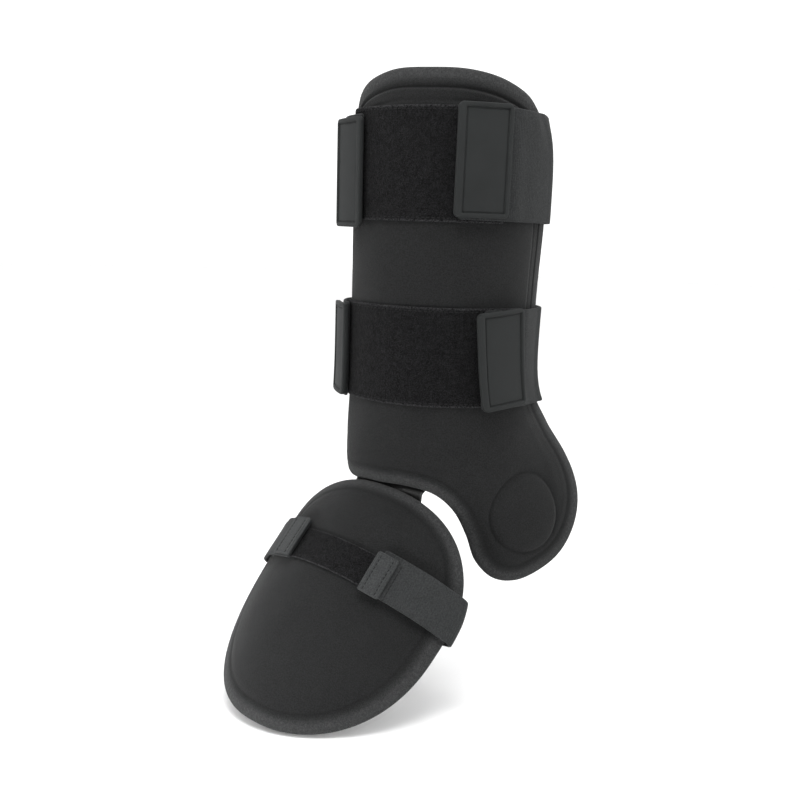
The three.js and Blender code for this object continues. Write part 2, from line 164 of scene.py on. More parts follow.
def curve_through(points: Array, closed: bool = False) -> Array:
    """Draws a centripetal curve through points.

    Args:
        points: the points, in two or three columns
        closed: whether the curve comes back to its start

    Returns:
        Many close points on the curve, with both ends.
    """
    before, after = points[-1:], points[:2]
    if not closed:
        before, after = 2 * points[:1] - points[1:2], 2 * points[-1:] - points[-2:-1]
    row = np.vstack([before, points, after])
    p0, p1, p2, p3 = row[:-3], row[1:-2], row[2:-1], row[3:]

    def knot(a: Array, b: Array) -> Array:
        """Returns the centripetal knot step between two points."""
        return np.sqrt(np.linalg.norm(b - a, axis=1))[:, None]

    d0, d1, d2 = knot(p0, p1), knot(p1, p2), knot(p2, p3)
    start = ((p1 - p0) / d0 - (p2 - p0) / (d0 + d1) + (p2 - p1) / d1) * d1
    end = ((p2 - p1) / d1 - (p3 - p1) / (d1 + d2) + (p3 - p2) / d2) * d1
    t = np.linspace(0, 1, FINE_STEPS, endpoint=False)[:, None, None]
    line = eased_span(p1, p2, start, end, t)
    return np.vstack([line.swapaxes(0, 1).reshape(-1, points.shape[1]), p2[-1:]])


def way_along(line: Array) -> Array:
    """Returns the length of a line up to each of its points."""
    return np.concatenate([[0], np.cumsum(np.linalg.norm(np.diff(line, axis=0), axis=1))])


def spread(line: Array, cells: int) -> Array:
    """Spreads even points along a line.

    Args:
        line: points of the line
        cells: number of even stretches

    Returns:
        Points, one more than the stretches.
    """
    way = way_along(line)
    at = np.linspace(0, way[-1], cells + 1)
    return np.column_stack([np.interp(at, way, column) for column in line.T])


def ripples(x: Array, y: Array, pitch: float, seed: int) -> Array:
    """Makes a soft seeded unevenness.

    Args:
        x: places across
        y: places along
        pitch: usual distance between two swells
        seed: choice of the pattern

    Returns:
        Heights of about -1 to 1.
    """
    draw = np.random.default_rng(seed)
    total = np.zeros(np.shape(x))
    for _ in range(RIPPLE_WAVES):
        heading, phase = draw.uniform(0, 2 * np.pi, 2)
        pace = 2 * np.pi / (pitch * draw.uniform(*RIPPLE_SPREAD))
        total += np.sin(pace * (x * np.cos(heading) + y * np.sin(heading)) + phase)
    return total / np.sqrt(2 * RIPPLE_WAVES)


def grid_quads(number: Array) -> Array:
    """Returns the quads of a grid of point numbers."""
    ring = [number[:-1, :-1], number[1:, :-1], number[1:, 1:], number[:-1, 1:]]
    return np.stack(ring, -1).reshape(-1, 4)


def read_grid(grid: Array, u: Array, v: Array) -> Array:
    """Reads a grid of places or vectors between its points.

    Args:
        grid: values along and across
        u: share of the way along
        v: share of the way across

    Returns:
        Values there, one row each.
    """
    cells, rows = grid.shape[0] - 1, grid.shape[1] - 1
    i = np.clip((u * cells).astype(int), 0, cells - 1)
    j = np.clip((v * rows).astype(int), 0, rows - 1)
    a, b = (u * cells - i)[:, None], (v * rows - j)[:, None]
    near, far = (blend(grid[i, k], grid[i + 1, k], a) for k in (j, j + 1))
    return blend(near, far, b)


def four_sided(line: Array, corners: Array, cells: tuple[int, int]) -> Array:
    """Spreads even points on the four sides of a closed line.

    Args:
        line: closed line, counterclockwise, with its start repeated at its end
        corners: top left, bottom left, bottom right and top right places
        cells: cells across and up

    Returns:
        Ring of points that starts at the top left and runs down first.
    """
    across, up = cells
    loop = line[:-1]
    first = int(np.argmin(np.linalg.norm(loop - corners[0], axis=1)))
    loop = np.roll(loop, -first, axis=0)
    loop = np.vstack([loop, loop[:1]])
    cuts = [0, *(int(np.argmin(np.linalg.norm(loop - c, axis=1))) for c in corners[1:]), len(loop) - 1]
    sides = zip(cuts[:-1], cuts[1:], (up, across, up, across))
    return np.vstack([spread(loop[a:b + 1], count)[:-1] for a, b, count in sides])


def rounded_rectangle(width: float, height: float, corner: float) -> tuple[Array, Array]:
    """Draws a rectangle with round corners about the origin.

    Args:
        width: size across
        height: size up
        corner: radius of the corners

    Returns:
        Closed counterclockwise line, and its four corner places from the top left.
    """
    x, y = width / 2 - corner, height / 2 - corner
    centres = ((-x, y, 90), (-x, -y, 180), (x, -y, 270), (x, y, 0))
    arcs, middles = [], []
    for cx, cy, start in centres:
        angle = np.radians(start + np.linspace(0, 90, ARC_STEPS + 1))
        arc = np.column_stack([cx + corner * np.cos(angle), cy + corner * np.sin(angle)])
        arcs.append(arc)
        middles.append(arc[ARC_STEPS // 2])
    corners = np.vstack(arcs)
    line = []
    closed = np.vstack([corners, corners[:1]])
    for a, b in zip(closed[:-1], closed[1:]):
        count = max(1, int(np.linalg.norm(b - a) / LINE_STEP))
        line.append(a + (b - a) * np.linspace(0, 1, count, endpoint=False)[:, None])
    return np.vstack([*line, corners[:1]]), np.array(middles)


@dataclass
class Draft:
    """Mesh in the making: flat places, heights, ways in from the edge and faces."""

    flat: list[Array] = field(default_factory=list)
    out: list[Array] = field(default_factory=list)
    inset: list[Array] = field(default_factory=list)
    side: list[Array] = field(default_factory=list)
    faces: list[Array] = field(default_factory=list)
    count: int = 0
    grid: Array | None = None
    inside: int = 0

    def add(self, flat: Array, out: float, inset: float, side: Face) -> Array:
        """Adds points.

        Args:
            flat: places on the flat pattern
            out: height over the body's face
            inset: way in from the free edge
            side: face that the points are on

        Returns:
            Numbers of the new points.
        """
        size = len(flat)
        self.flat.append(flat)
        for column, value in ((self.out, out), (self.inset, inset), (self.side, side.value)):
            column.append(np.full(size, float(value)))
        self.count += size
        return np.arange(self.count - size, self.count)

    def rows(self) -> Iterator[tuple[Array, Array, Array, Array]]:
        """Gives each set of points as flat places, heights, ways in and sides, to be read or changed."""
        return zip(self.flat, self.out, self.inset, self.side)

    def join(self, ring: Array, inner: Array, side: Face) -> None:
        """Closes the strip between a ring and the next one inside it.

        Args:
            ring: numbers of the outer ring's points
            inner: numbers of the inner ring's points, as many or half as many
            side: face that the strip is on
        """
        if len(ring) == len(inner):
            faces = [np.column_stack([ring, np.roll(ring, -1), np.roll(inner, -1), inner])]
        else:
            a, b, c = ring[::2], ring[1::2], np.roll(ring, -2)[::2]
            d, e = inner, np.roll(inner, -1)
            faces = [np.column_stack(three) for three in ((a, b, d), (b, c, e), (b, e, d))]
        self.faces += faces if side is Face.OUTER else [f[:, ::-1] for f in faces]

    def fill(self, ring: Array, cells: tuple[int, int], inset: float, out: float, side: Face) -> None:
        """Fills a four-sided ring with a grid that eases between its sides.

        Args:
            ring: numbers of the ring's points, from the top left downward
            cells: cells across and up
            inset: way in that the grid's points keep
            out: height that the grid's points keep
            side: face that the grid is on
        """
        across, up = cells
        number = np.zeros((across + 1, up + 1), int)
        number[0, :] = ring[up - np.arange(up + 1)]
        number[:, 0] = ring[up + np.arange(across + 1)]
        number[-1, :] = ring[up + across + np.arange(up + 1)]
        number[:, -1] = ring[(2 * (up + across) - np.arange(across + 1)) % len(ring)]
        places = np.vstack(self.flat)
        u = np.linspace(0, 1, across + 1)[1:-1, None, None]
        v = np.linspace(0, 1, up + 1)[None, 1:-1, None]
        left, right = places[number[0, 1:-1]][None], places[number[-1, 1:-1]][None]
        low, high = places[number[1:-1, 0]][:, None], places[number[1:-1, -1]][:, None]
        corner = places[number[[0, -1]][:, [0, -1]]]
        flat_corners = blend(blend(corner[0, 0], corner[1, 0], u), blend(corner[0, 1], corner[1, 1], u), v)
        inside = blend(left, right, u) + blend(low, high, v) - flat_corners
        number[1:-1, 1:-1] = self.add(inside.reshape(-1, 2), out, inset, side).reshape(across - 1, up - 1)
        if side is Face.OUTER:
            self.grid, self.inside = number, len(self.out) - 1
        quads = grid_quads(number)
        self.faces.append(quads if side is Face.OUTER else quads[:, ::-1])

    def settle(self, place: Place, bonded: Relief, puff: float) -> None:
        """Lets a simulated cover rise between its bonds on the outer face.

        Args:
            place: gives points in space for flat places and heights
            bonded: tells where the cover is held down
            puff: height of its highest rise
        """
        stride = 5
        flat = np.vstack(self.flat)[self.grid[::stride, ::stride]]
        x, y = flat[..., 0], flat[..., 1]
        points = place(x.ravel(), y.ravel(), np.zeros(x.size)).reshape(*x.shape, 3)
        rise = CoverCloth().settle(points, bonded(x, y))
        for axis, size in enumerate(self.grid.shape):
            at = np.arange(size) / stride
            rows = np.moveaxis(rise, axis, -1)
            rise = np.moveaxis(np.array([eased_rows(np.arange(len(row)), row, at) for row in rows]), -1, axis)
        self.out[self.inside] += puff * rise[1:-1, 1:-1].ravel()

    def soften(self, share: Relief) -> None:
        """Eases the moulded edge toward the soft one.

        Args:
            share: gives the edge's softness at flat places
        """
        ways, heights = zip(*SOFT_EDGE)
        for flat, out, inset, side in self.rows():
            if side[0] == Face.OUTER.value and inset[0] < DEEP_INSET:
                out[:] = blend(out, eased_rows(ways, heights, inset), share(*flat.T))

    def roughen(self, height: float, seed: int) -> None:
        """Adds a fine unevenness to the outer face along its free edge.

        Args:
            height: height of its bumps
            seed: choice of the pattern
        """
        low, high = EDGE_BAND
        for flat, out, inset, side in self.rows():
            band = smooth(inset, low, low + 1) * (1 - smooth(inset, high, high + 1))
            out += height * ripples(*flat.T, EDGE_PITCH, seed) * side * band


@dataclass(frozen=True)
class CoverCloth:
    """Cover fabric that a little pressure lifts off its foam, simulated at a scale that suits the solver."""

    frames: int = 22
    pressure: float = 2.0
    scale: float = 0.01

    def settle(self, points: Array, held: Array) -> Array:
        """Runs the cloth.

        Args:
            points: grid of points in mm, across and up
            held: which of them are bonded; the grid's rim always is

        Returns:
            Rise of each point as a share of the highest.
        """
        held = held.copy()
        held[[0, -1]] = True
        held[:, [0, -1]] = True
        number = np.arange(held.size).reshape(held.shape)
        mesh = mesh_from("cover_cloth", points.reshape(-1, 3) * (self.scale / MM), [grid_quads(number)])
        obj = bpy.data.objects.new("cover_cloth", mesh)
        scene = bpy.context.scene
        scene.collection.objects.link(obj)
        obj.vertex_groups.new(name="bonded").add(np.flatnonzero(held).tolist(), 1.0, "REPLACE")
        cloth = obj.modifiers.new("cloth", "CLOTH")
        cloth.point_cache.frame_end = self.frames
        values = {
            "quality": 6,
            "mass": 0.3,
            "tension_stiffness": 20,
            "compression_stiffness": 20,
            "shear_stiffness": 8,
            "bending_stiffness": 1.5,
            "vertex_group_mass": "bonded",
            "use_pressure": True,
            "uniform_pressure_force": self.pressure,
        }
        for key, value in values.items():
            setattr(cloth.settings, key, value)
        cloth.settings.effector_weights.gravity = 0
        starts, ends, normals = np.zeros((3, held.size * 3), np.float32)
        mesh.vertices.foreach_get("co", starts)
        mesh.vertex_normals.foreach_get("vector", normals)
        for frame_number in range(1, self.frames + 1):
            scene.frame_set(frame_number)
        shaped = obj.evaluated_get(bpy.context.evaluated_depsgraph_get())
        shaped.data.vertices.foreach_get("co", ends)
        scene.frame_set(1)
        bpy.data.objects.remove(obj)
        bpy.data.meshes.remove(mesh)
        rise = ((ends - starts) * normals).reshape(-1, 3).sum(1)
        LOG.info("cover cloth rose %.2f mm", rise.max() / self.scale)
        return np.clip(rise / rise.max(), 0, 1).reshape(held.shape)


@dataclass
class PadShape:
    """Closed pad or sheet on a flat outline; each edge table has ways in from the free edge and heights."""

    line: Array
    corners: Array
    cells: tuple[int, int]
    outer: Profile
    inner: Profile
    window: int = 1
    halved: bool = False

    def draft(self) -> Draft:
        """Draws the pad on the flat pattern.

        Returns:
            The mesh in the making.
        """
        made = Draft()
        ring = four_sided(self.line, self.corners, self.cells)
        along = unit(np.roll(ring, -self.window, axis=0) - np.roll(ring, self.window, axis=0))
        inward = np.column_stack([-along[:, 1], along[:, 0]])
        edge = made.add(ring, self.outer[0][1], 0, Face.OUTER)
        for side, table in ((Face.OUTER, self.outer[1:]), (Face.INNER, self.inner)):
            last = edge
            cells = self.cells
            for inset, out in table:
                after = made.add(ring + inward * inset, out, inset, side)
                made.join(last, after, side)
                last = after
            inset, out = table[-1]
            if self.halved and side is Face.INNER:
                inset += COARSE_STEP
                coarse = made.add((ring + inward * inset)[::2], out, inset, side)
                made.join(last, coarse, side)
                last = coarse
                cells = (cells[0] // 2, cells[1] // 2)
            made.fill(last, cells, DEEP_INSET, out, side)
        return made


@dataclass
class Piece:
    """A visible piece with its finish, body, slot and the CAD nodes that it stands for."""

    name: str
    finish: "Finish"
    slot: Slot
    nodes: tuple[str, ...] = ()

    def dress(self, mesh: bpy.types.Mesh) -> bpy.types.Object:
        """Links a mesh as this piece.

        Args:
            mesh: finished mesh in metres

        Returns:
            The object that rides on the part's body.
        """
        mesh.shade_smooth()
        mesh.materials.append(self.finish.material())
        obj = bpy.data.objects.new(self.name, mesh)
        bpy.context.scene.collection.objects.link(obj)
        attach(obj, BODY)
        if self.nodes:
            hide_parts(*self.nodes)
        LOG.info("%s: %d faces", self.name, len(mesh.polygons))
        return obj

    def sew(
        self, draft: Draft, place: Place, relief: Relief | None = None, painted_shade: Shade | None = None,
    ) -> bpy.types.Object:
        """Puts a flat draft in its place and links it.

        Args:
            draft: mesh on the flat pattern
            place: gives points in space for flat places and heights
            relief: height that the outer face gains away from its edge
            painted_shade: painted shade in its creases, where shadow falls

        Returns:
            The linked object.
        """
        flat = np.vstack(draft.flat)
        out, inset, side = (np.concatenate(c) for c in (draft.out, draft.inset, draft.side))
        if relief is not None:
            body = (side > 0) & (inset > BODY_INSET[0])
            out[body] += relief(*flat[body].T) * smooth(inset[body], *BODY_INSET)
        points = place(flat[:, 0], flat[:, 1], out)
        mesh = mesh_from(self.name, points, draft.faces)
        write_attribute(mesh, "inset", inset)
        write_attribute(mesh, "outer", side)
        write_attribute(mesh, "flat", np.column_stack([flat, out]))
        # painted shade in the creases, kept for the cover's material to darken its colour by
        write_attribute(mesh, "painted_crease_shade", painted_shade(*flat.T, inset) * side if painted_shade else np.zeros(len(flat)))
        return self.dress(mesh)


def mesh_from(name: str, points: Array, faces: Sequence[Array]) -> bpy.types.Mesh:
    """Makes a mesh from points in mm.

    Args:
        name: name of the mesh
        points: points, one row each
        faces: arrays of triangles and quads

    Returns:
        The mesh, in metres.
    """
    mesh = bpy.data.meshes.new(name)
    mesh.vertices.add(len(points))
    mesh.vertices.foreach_set("co", (points * MM).astype(np.float32).ravel())
    sizes = np.concatenate([np.full(len(f), f.shape[1]) for f in faces])
    mesh.loops.add(int(sizes.sum()))
    mesh.loops.foreach_set("vertex_index", np.concatenate([f.ravel() for f in faces]).astype(np.int32))
    mesh.polygons.add(len(sizes))
    starts = np.concatenate([[0], np.cumsum(sizes)[:-1]])
    mesh.polygons.foreach_set("loop_start", starts.astype(np.int32))
    mesh.update(calc_edges=True)
    mesh.validate()
    return mesh


def write_attribute(mesh: bpy.types.Mesh, name: str, values: Array) -> None:
    """Keeps a value or a vector for each point of a mesh.

    Args:
        mesh: the mesh
        name: name that the finishes read it by
        values: one value, or a row of three, for each point
    """
    vector = values.ndim == 2
    kind, key = ("FLOAT_VECTOR", "vector") if vector else ("FLOAT", "value")
    attribute = mesh.attributes.new(name, kind, "POINT")
    attribute.data.foreach_set(key, values.astype(np.float32).ravel())


@dataclass(frozen=True)
class Stitching:
    """Row of thread stitches: pitch, share of it that shows, thread radius, and the thread's rise and bow."""

    pitch: float = 3.2
    share: float = 0.72
    radius: float = 0.32
    sides: int = 6
    steps: int = 5
    lift: float = 0.12
    bow: float = 0.25

    def mesh(self, name: str, runs: Sequence[Array], place: Place, out: float) -> bpy.types.Mesh:
        """Lays stitches along runs on a face.

        Args:
            name: name of the mesh
            runs: flat lines that the stitches follow
            place: gives points in space for flat places and heights
            out: height of the face under the thread

        Returns:
            One mesh with all the stitches.
        """
        starts, ends = [], []
        for run in runs:
            count = max(1, int(way_along(run)[-1] / self.pitch))
            stops = spread(run, count)
            starts.append(stops[:-1])
            ends.append(blend(stops[:-1], stops[1:], self.share))
        a, b = np.vstack(starts), np.vstack(ends)
        level = np.full(len(a), out)
        middle = (a + b) / 2
        head, tail = place(*a.T, level), place(*b.T, level)
        centre = place(*middle.T, level + self.lift)
        up = unit(place(*middle.T, level + 1) - place(*middle.T, level))
        along = (tail - head) / 2
        beside = unit(np.cross(up, along))
        t = -np.cos(np.linspace(0, np.pi, self.steps + 2))
        thick = np.sqrt(np.maximum(1 - t ** 4, 0)) * self.radius
        angle = np.linspace(0, 2 * np.pi, self.sides, endpoint=False)
        bow = -self.bow * t ** 2
        spine = centre[:, None] + along[:, None] * t[None, :, None] + up[:, None] * bow[None, :, None]
        around = beside[:, None] * np.cos(angle)[None, :, None] + up[:, None] * np.sin(angle)[None, :, None]
        rings = spine[:, 1:-1, None] + around[:, None] * thick[None, 1:-1, None, None]
        poles = spine[:, [0, -1]]
        per = self.steps * self.sides + 2
        points = np.concatenate([rings.reshape(len(a), -1, 3), poles], axis=1).reshape(-1, 3)
        i = np.arange(self.sides)
        after = (i + 1) % self.sides
        base = np.arange(self.steps - 1)[:, None] * self.sides
        ring = [base + i, base + after, base + self.sides + after, base + self.sides + i]
        quads = np.stack(ring, -1).reshape(-1, 4)
        low = np.column_stack([np.full(self.sides, per - 2), after, i])
        top = (self.steps - 1) * self.sides
        high = np.column_stack([np.full(self.sides, per - 1), top + i, top + after])
        shift = (np.arange(len(a)) * per)[:, None, None]
        faces = [(part[None] + shift).reshape(-1, part.shape[1]) for part in (quads, low, high)]
        return mesh_from(name, points, faces)


class Wire:
    """Socket of a shader node that takes part in Python expressions."""

    def __init__(self, graph: "Graph", socket: bpy.types.NodeSocket) -> None:
        """Keeps the graph and the socket."""
        self.graph = graph
        self.socket = socket

    def __add__(self, other: "Wire | float") -> "Wire":
        """Returns the sum."""
        return self.graph.maths("ADD", self, other)

    def __sub__(self, other: "Wire | float") -> "Wire":
        """Returns the difference."""
        return self.graph.maths("SUBTRACT", self, other)

    def __rsub__(self, other: float) -> "Wire":
        """Returns a number less this value."""
        return self.graph.maths("SUBTRACT", other, self)

    def __mul__(self, other: "Wire | float") -> "Wire":
        """Returns the product."""
        return self.graph.maths("MULTIPLY", self, other)

    __radd__ = __add__
    __rmul__ = __mul__

    def sine(self) -> "Wire":
        """Returns the sine."""
        return self.graph.maths("SINE", self)

    def ramp(self, low: float, high: float) -> "Wire":
        """Eases this value to a share.

        Args:
            low: where the share is 0
            high: where the share is 1

        Returns:
            The share.
        """
        settings = {"interpolation_type": "SMOOTHSTEP"}
        inputs = {"Value": self, "From Min": low, "From Max": high}
        return self.graph.node("ShaderNodeMapRange", settings, inputs)


class Graph:
    """Node tree of a finish."""

    def __init__(self, tree: bpy.types.NodeTree) -> None:
        """Starts with an empty tree."""
        self.tree = tree
        tree.nodes.clear()

    def node(
        self, kind: str, settings: dict | None = None, inputs: dict | None = None, output: int | str = 0,
    ) -> Wire:
        """Adds a node.

        Args:
            kind: the node's type
            settings: properties that are set first
            inputs: values or links by socket name or number
            output: socket that is returned

        Returns:
            The output socket.
        """
        made = self.tree.nodes.new(kind)
        for key, value in (settings or {}).items():
            setattr(made, key, value)
        for key, value in (inputs or {}).items():
            if isinstance(value, Wire):
                self.tree.links.new(value.socket, made.inputs[key])
            else:
                made.inputs[key].default_value = value
        return Wire(self, made.outputs[output]) if len(made.outputs) else Wire(self, made.inputs[0])

    def maths(self, operation: str, *values: Wire | float) -> Wire:
        """Adds a Math node for an expression."""
        return self.node("ShaderNodeMath", {"operation": operation}, dict(enumerate(values)))

    def mixed(self, a: Wire | Colour, b: Wire | Colour, share: Wire) -> Wire:
        """Returns a colour that lies a share of the way from a to b."""
        a, b = (c if isinstance(c, Wire) else (*c, 1.0) for c in (a, b))
        return self.node("ShaderNodeMix", {"data_type": "RGBA"}, {0: share, 6: a, 7: b}, 2)

    def value(self, name: str) -> Wire:
        """Reads a kept value of the mesh."""
        return self.node("ShaderNodeAttribute", {"attribute_name": name}, None, "Fac")

    def noise(self, scale: float, detail: float = 2.0) -> Wire:
        """Adds noise in the object's own space.

        Args:
            scale: about how many swells lie in a metre
            detail: number of finer layers

        Returns:
            The noise, from 0 to 1.
        """
        place = self.node("ShaderNodeTexCoord", None, None, "Object")
        inputs = {"Vector": place, "Scale": scale, "Detail": detail, "Roughness": 0.55}
        return self.node("ShaderNodeTexNoise", None, inputs, "Fac")

    def flat(self) -> tuple[Wire, Wire]:
        """Reads the places on the flat pattern.

        Returns:
            Both places, in mm.
        """
        place = self.node("ShaderNodeAttribute", {"attribute_name": "flat"}, None, "Vector")
        split = self.node("ShaderNodeSeparateXYZ", None, {0: place})
        node = split.socket.node
        return Wire(self, node.outputs[0]), Wire(self, node.outputs[1])


@dataclass(frozen=True)
class Finish:
    """A finish: its colours, gloss and the pattern that its surface shows."""

    name: str
    dark: Colour
    light: Colour
    roughness: float = 0.9
    specular: float = 0.2
    sheen: float = 0.0
    relief: float = 0.3

    def material(self) -> bpy.types.Material:
        """Makes the finish's material at its first use.

        Returns:
            The material.
        """
        known = bpy.data.materials.get(self.name)
        if known is not None:
            return known
        made = bpy.data.materials.new(self.name)
        made.use_nodes = True
        graph = Graph(made.node_tree)
        colour, rough, height = self.pattern(graph)
        bump = graph.node("ShaderNodeBump", None, {"Strength": self.relief, "Distance": MM, "Height": height})
        shader = graph.node("ShaderNodeBsdfPrincipled", None, {
            "Base Color": colour,
            "Roughness": rough,
            "Normal": bump,
            "Specular IOR Level": self.specular,
            "Sheen Weight": self.sheen,
            "Sheen Roughness": 0.45,
        })
        graph.node("ShaderNodeOutputMaterial", None, {"Surface": shader})
        return made

    def pattern(self, graph: Graph) -> tuple[Wire, Wire, Wire]:
        """Returns the colour, roughness and height of a plain, grainy surface."""
        grain = graph.noise(1800.0)
        return graph.mixed(self.dark, self.light, grain), grain * 0.2 + (self.roughness - 0.1), grain


@dataclass(frozen=True)
class CoverKnit(Finish):
    """Knit cover of the pads: a flecked, lighter edge, painted shade in its creases and a plainer lining."""

    speck: Colour = (0.085, 0.086, 0.087)
    # colour of the painted shade that darkens the grooves, where shadow falls
    painted_shade: Colour = (0.002, 0.002, 0.002)
    wale: float = 0.8
    course: float = 0.7
    edge: Pair = (4.3, 9.8)

    def pattern(self, graph: Graph) -> tuple[Wire, Wire, Wire]:
        """Draws the knit, the flecked edge and the creases.

        Args:
            graph: node tree of the material

        Returns:
            Colour, roughness and height of the surface.
        """
        s, z = graph.flat()
        inset, outer, painted_crease_shade = (graph.value(name) for name in ("inset", "outer", "painted_crease_shade"))
        turn = 2 * np.pi
        bend = (z * (turn / self.course)).sine()
        knit = (s * (turn / self.wale) + bend * 0.9).sine() * 0.5 + 0.5
        fuzz = graph.noise(1300.0, 3.0)
        cloud = graph.noise(45.0)
        body = graph.mixed(self.dark, self.light, knit * 0.15 + fuzz.ramp(0.3, 0.7) * 0.6 + cloud * 0.25)
        edge = (1 - inset.ramp(*self.edge)) * outer
        specks = graph.noise(620.0, 2.0).ramp(0.46, 0.66)
        flecked = graph.mixed(body, self.speck, (specks * 0.12 + fuzz * 0.5) * edge)
        # painted shade: darkens the colour in the edge's groove and the dome's groove
        colour = graph.mixed(flecked, self.painted_shade, painted_crease_shade)
        rough = fuzz * 0.12 + (self.roughness - 0.06)
        return colour, rough, knit * 0.25 + fuzz * 0.8 + specks * edge * 0.5


@dataclass(frozen=True)
class BrushedLoop(Finish):
    """Brushed loop fabric: tangled pile with lighter threads, and a frayed edge lightened by a painted
    highlight.
    """

    frayed_and_highlight: Colour = (0.05, 0.05, 0.052)
    edge: Pair = (0.5, 2.2)

    def pattern(self, graph: Graph) -> tuple[Wire, Wire, Wire]:
        """Draws the pile and its edge.

        Args:
            graph: node tree of the material

        Returns:
            Colour, roughness and height of the surface.
        """
        inset, outer = graph.value("inset"), graph.value("outer")
        pile = graph.noise(1100.0, 4.0)
        tuft = graph.noise(260.0, 3.0)
        strand = graph.noise(2200.0, 2.0).ramp(0.56, 0.74)
        tangle = (pile * 0.75 + tuft * 0.25).ramp(0.35, 0.7)
        nap = graph.mixed(self.dark, self.light, tangle * 0.6 + strand * 0.4)
        # lighter edge: frayed threads, with a painted highlight along the rolled edge
        edge = (1 - inset.ramp(*self.edge)) * outer * pile.ramp(0.35, 0.6)
        colour = graph.mixed(nap, self.frayed_and_highlight, edge * 0.6)
        return colour, pile * 0.1 + (self.roughness - 0.05), pile * 1.4 + strand * 0.6 + tuft * 1.2


@dataclass(frozen=True)
class WovenElastic(Finish):
    """Woven elastic: a fine speckled weave with faint ribs across the band."""

    rib: float = 1.7
    course: float = 0.7

    def pattern(self, graph: Graph) -> tuple[Wire, Wire, Wire]:
        """Draws the weave.

        Args:
            graph: node tree of the material

        Returns:
            Colour, roughness and height of the surface.
        """
        along, across = graph.flat()
        turn = 2 * np.pi
        wave = (along * (turn / self.rib)).sine()
        rib = wave * 0.5 + 0.5
        course = (across * (turn / self.course) + wave * 0.7).sine() * 0.5 + 0.5
        fuzz = graph.noise(1100.0, 3.0)
        cloud = graph.noise(70.0)
        weave = rib * 0.1 + course * 0.1 + fuzz.ramp(0.3, 0.7) * 0.6 + cloud * 0.2
        rough = fuzz * 0.1 + (self.roughness - 0.05)
        return graph.mixed(self.dark, self.light, weave), rough, rib * 0.25 + course * 0.4 + fuzz * 0.8


@dataclass(frozen=True)
class SatinRubber(Finish):
    """Moulded rubber with a fine matt grain."""

    def pattern(self, graph: Graph) -> tuple[Wire, Wire, Wire]:
        """Draws the grain and faint handling marks.

        Args:
            graph: node tree of the material

        Returns:
            Colour, roughness and height of the surface.
        """
        grain = graph.noise(3000.0, 2.0)
        marks = graph.noise(60.0, 4.0)
        colour = graph.mixed(self.dark, self.light, marks * 0.7 + grain * 0.3)
        return colour, marks * 0.2 + grain * 0.1 + (self.roughness - 0.15), grain


COVER = CoverKnit(
    "cover_knit", (0.0055, 0.0057, 0.0058), (0.019, 0.0195, 0.0197),
    roughness=0.92, specular=0.12, sheen=0.06, relief=0.35,
)
LOOP = BrushedLoop(
    "brushed_loop", (0.004, 0.004, 0.0042), (0.025, 0.025, 0.0262),
    roughness=1.0, specular=0.06, sheen=0.02, relief=0.9,
)
ELASTIC = WovenElastic(
    "woven_elastic", (0.009, 0.0096, 0.0098), (0.030, 0.0315, 0.032),
    roughness=0.9, specular=0.16, sheen=0.04, relief=0.4,
)
FOOT_BAND = WovenElastic(
    "foot_elastic", (0.0142, 0.015, 0.0153), (0.0395, 0.0415, 0.042),
    roughness=0.9, specular=0.16, sheen=0.04, relief=0.4,
)
SEWN = WovenElastic(
    "sewn_strap_end", (0.0215, 0.0226, 0.023), (0.051, 0.0532, 0.0539),
    roughness=0.9, specular=0.16, sheen=0.03, relief=0.4,
)
# hinge knit lighter than the cover: partly its own lighter knit, partly painted light on a strip lying in
# shade between the pads
STRIP = CoverKnit(
    "hinge_knit", (0.012, 0.012, 0.0118), (0.034, 0.034, 0.0335),
    roughness=0.92, specular=0.14, sheen=0.05, relief=0.4,
)
RUBBER = SatinRubber(
    "satin_rubber", (0.0118, 0.0127, 0.0127), (0.0224, 0.0242, 0.0242),
    roughness=0.66, specular=0.13, sheen=0.0, relief=0.12,
)
THREAD = Finish(
    "sewing_thread", (0.008, 0.0082, 0.0084), (0.018, 0.0184, 0.0188),
    roughness=0.9, specular=0.12, sheen=0.03, relief=0.5,
)


@dataclass(frozen=True)
class LegForm:
    """Leg form that the flat pattern is wrapped on, as rows of its sections."""

    z: tuple[float, ...] = (-205, -160, -131, -95, -50, 70, 140)
    radius: tuple[float, ...] = (88, 80.5, 74.6, 67, 63.6, 65.3, 66.3)
    centre: tuple[float, ...] = (38, 28.5, 20.6, 11, 7.1, 8.8, 9.8)
    turn: tuple[float, ...] = (51, 57, 64, 76, 84, 83, 82)

    def at(self, column: tuple[float, ...], z: Array | float) -> Array:
        """Returns one column of the sections at heights."""
        return eased_rows(self.z, column, np.asarray(z, float))

    def wrap(self, s: Array, z: Array, out: Array) -> Array:
        """Wraps places of the flat pattern.

        Args:
            s: way from the front line
            z: height
            out: way out from the body's face

        Returns:
            Points in space.
        """
        radius, turn = self.at(self.radius, z), np.radians(self.at(self.turn, z))
        angle = np.minimum(s / radius, turn)
        straight = np.maximum(0, s - radius * turn)
        x = (radius + out) * np.sin(angle) + straight * np.cos(angle)
        y = self.at(self.centre, z) - (radius + out) * np.cos(angle) + straight * np.sin(angle)
        return np.column_stack([x, y, z + 0 * x])


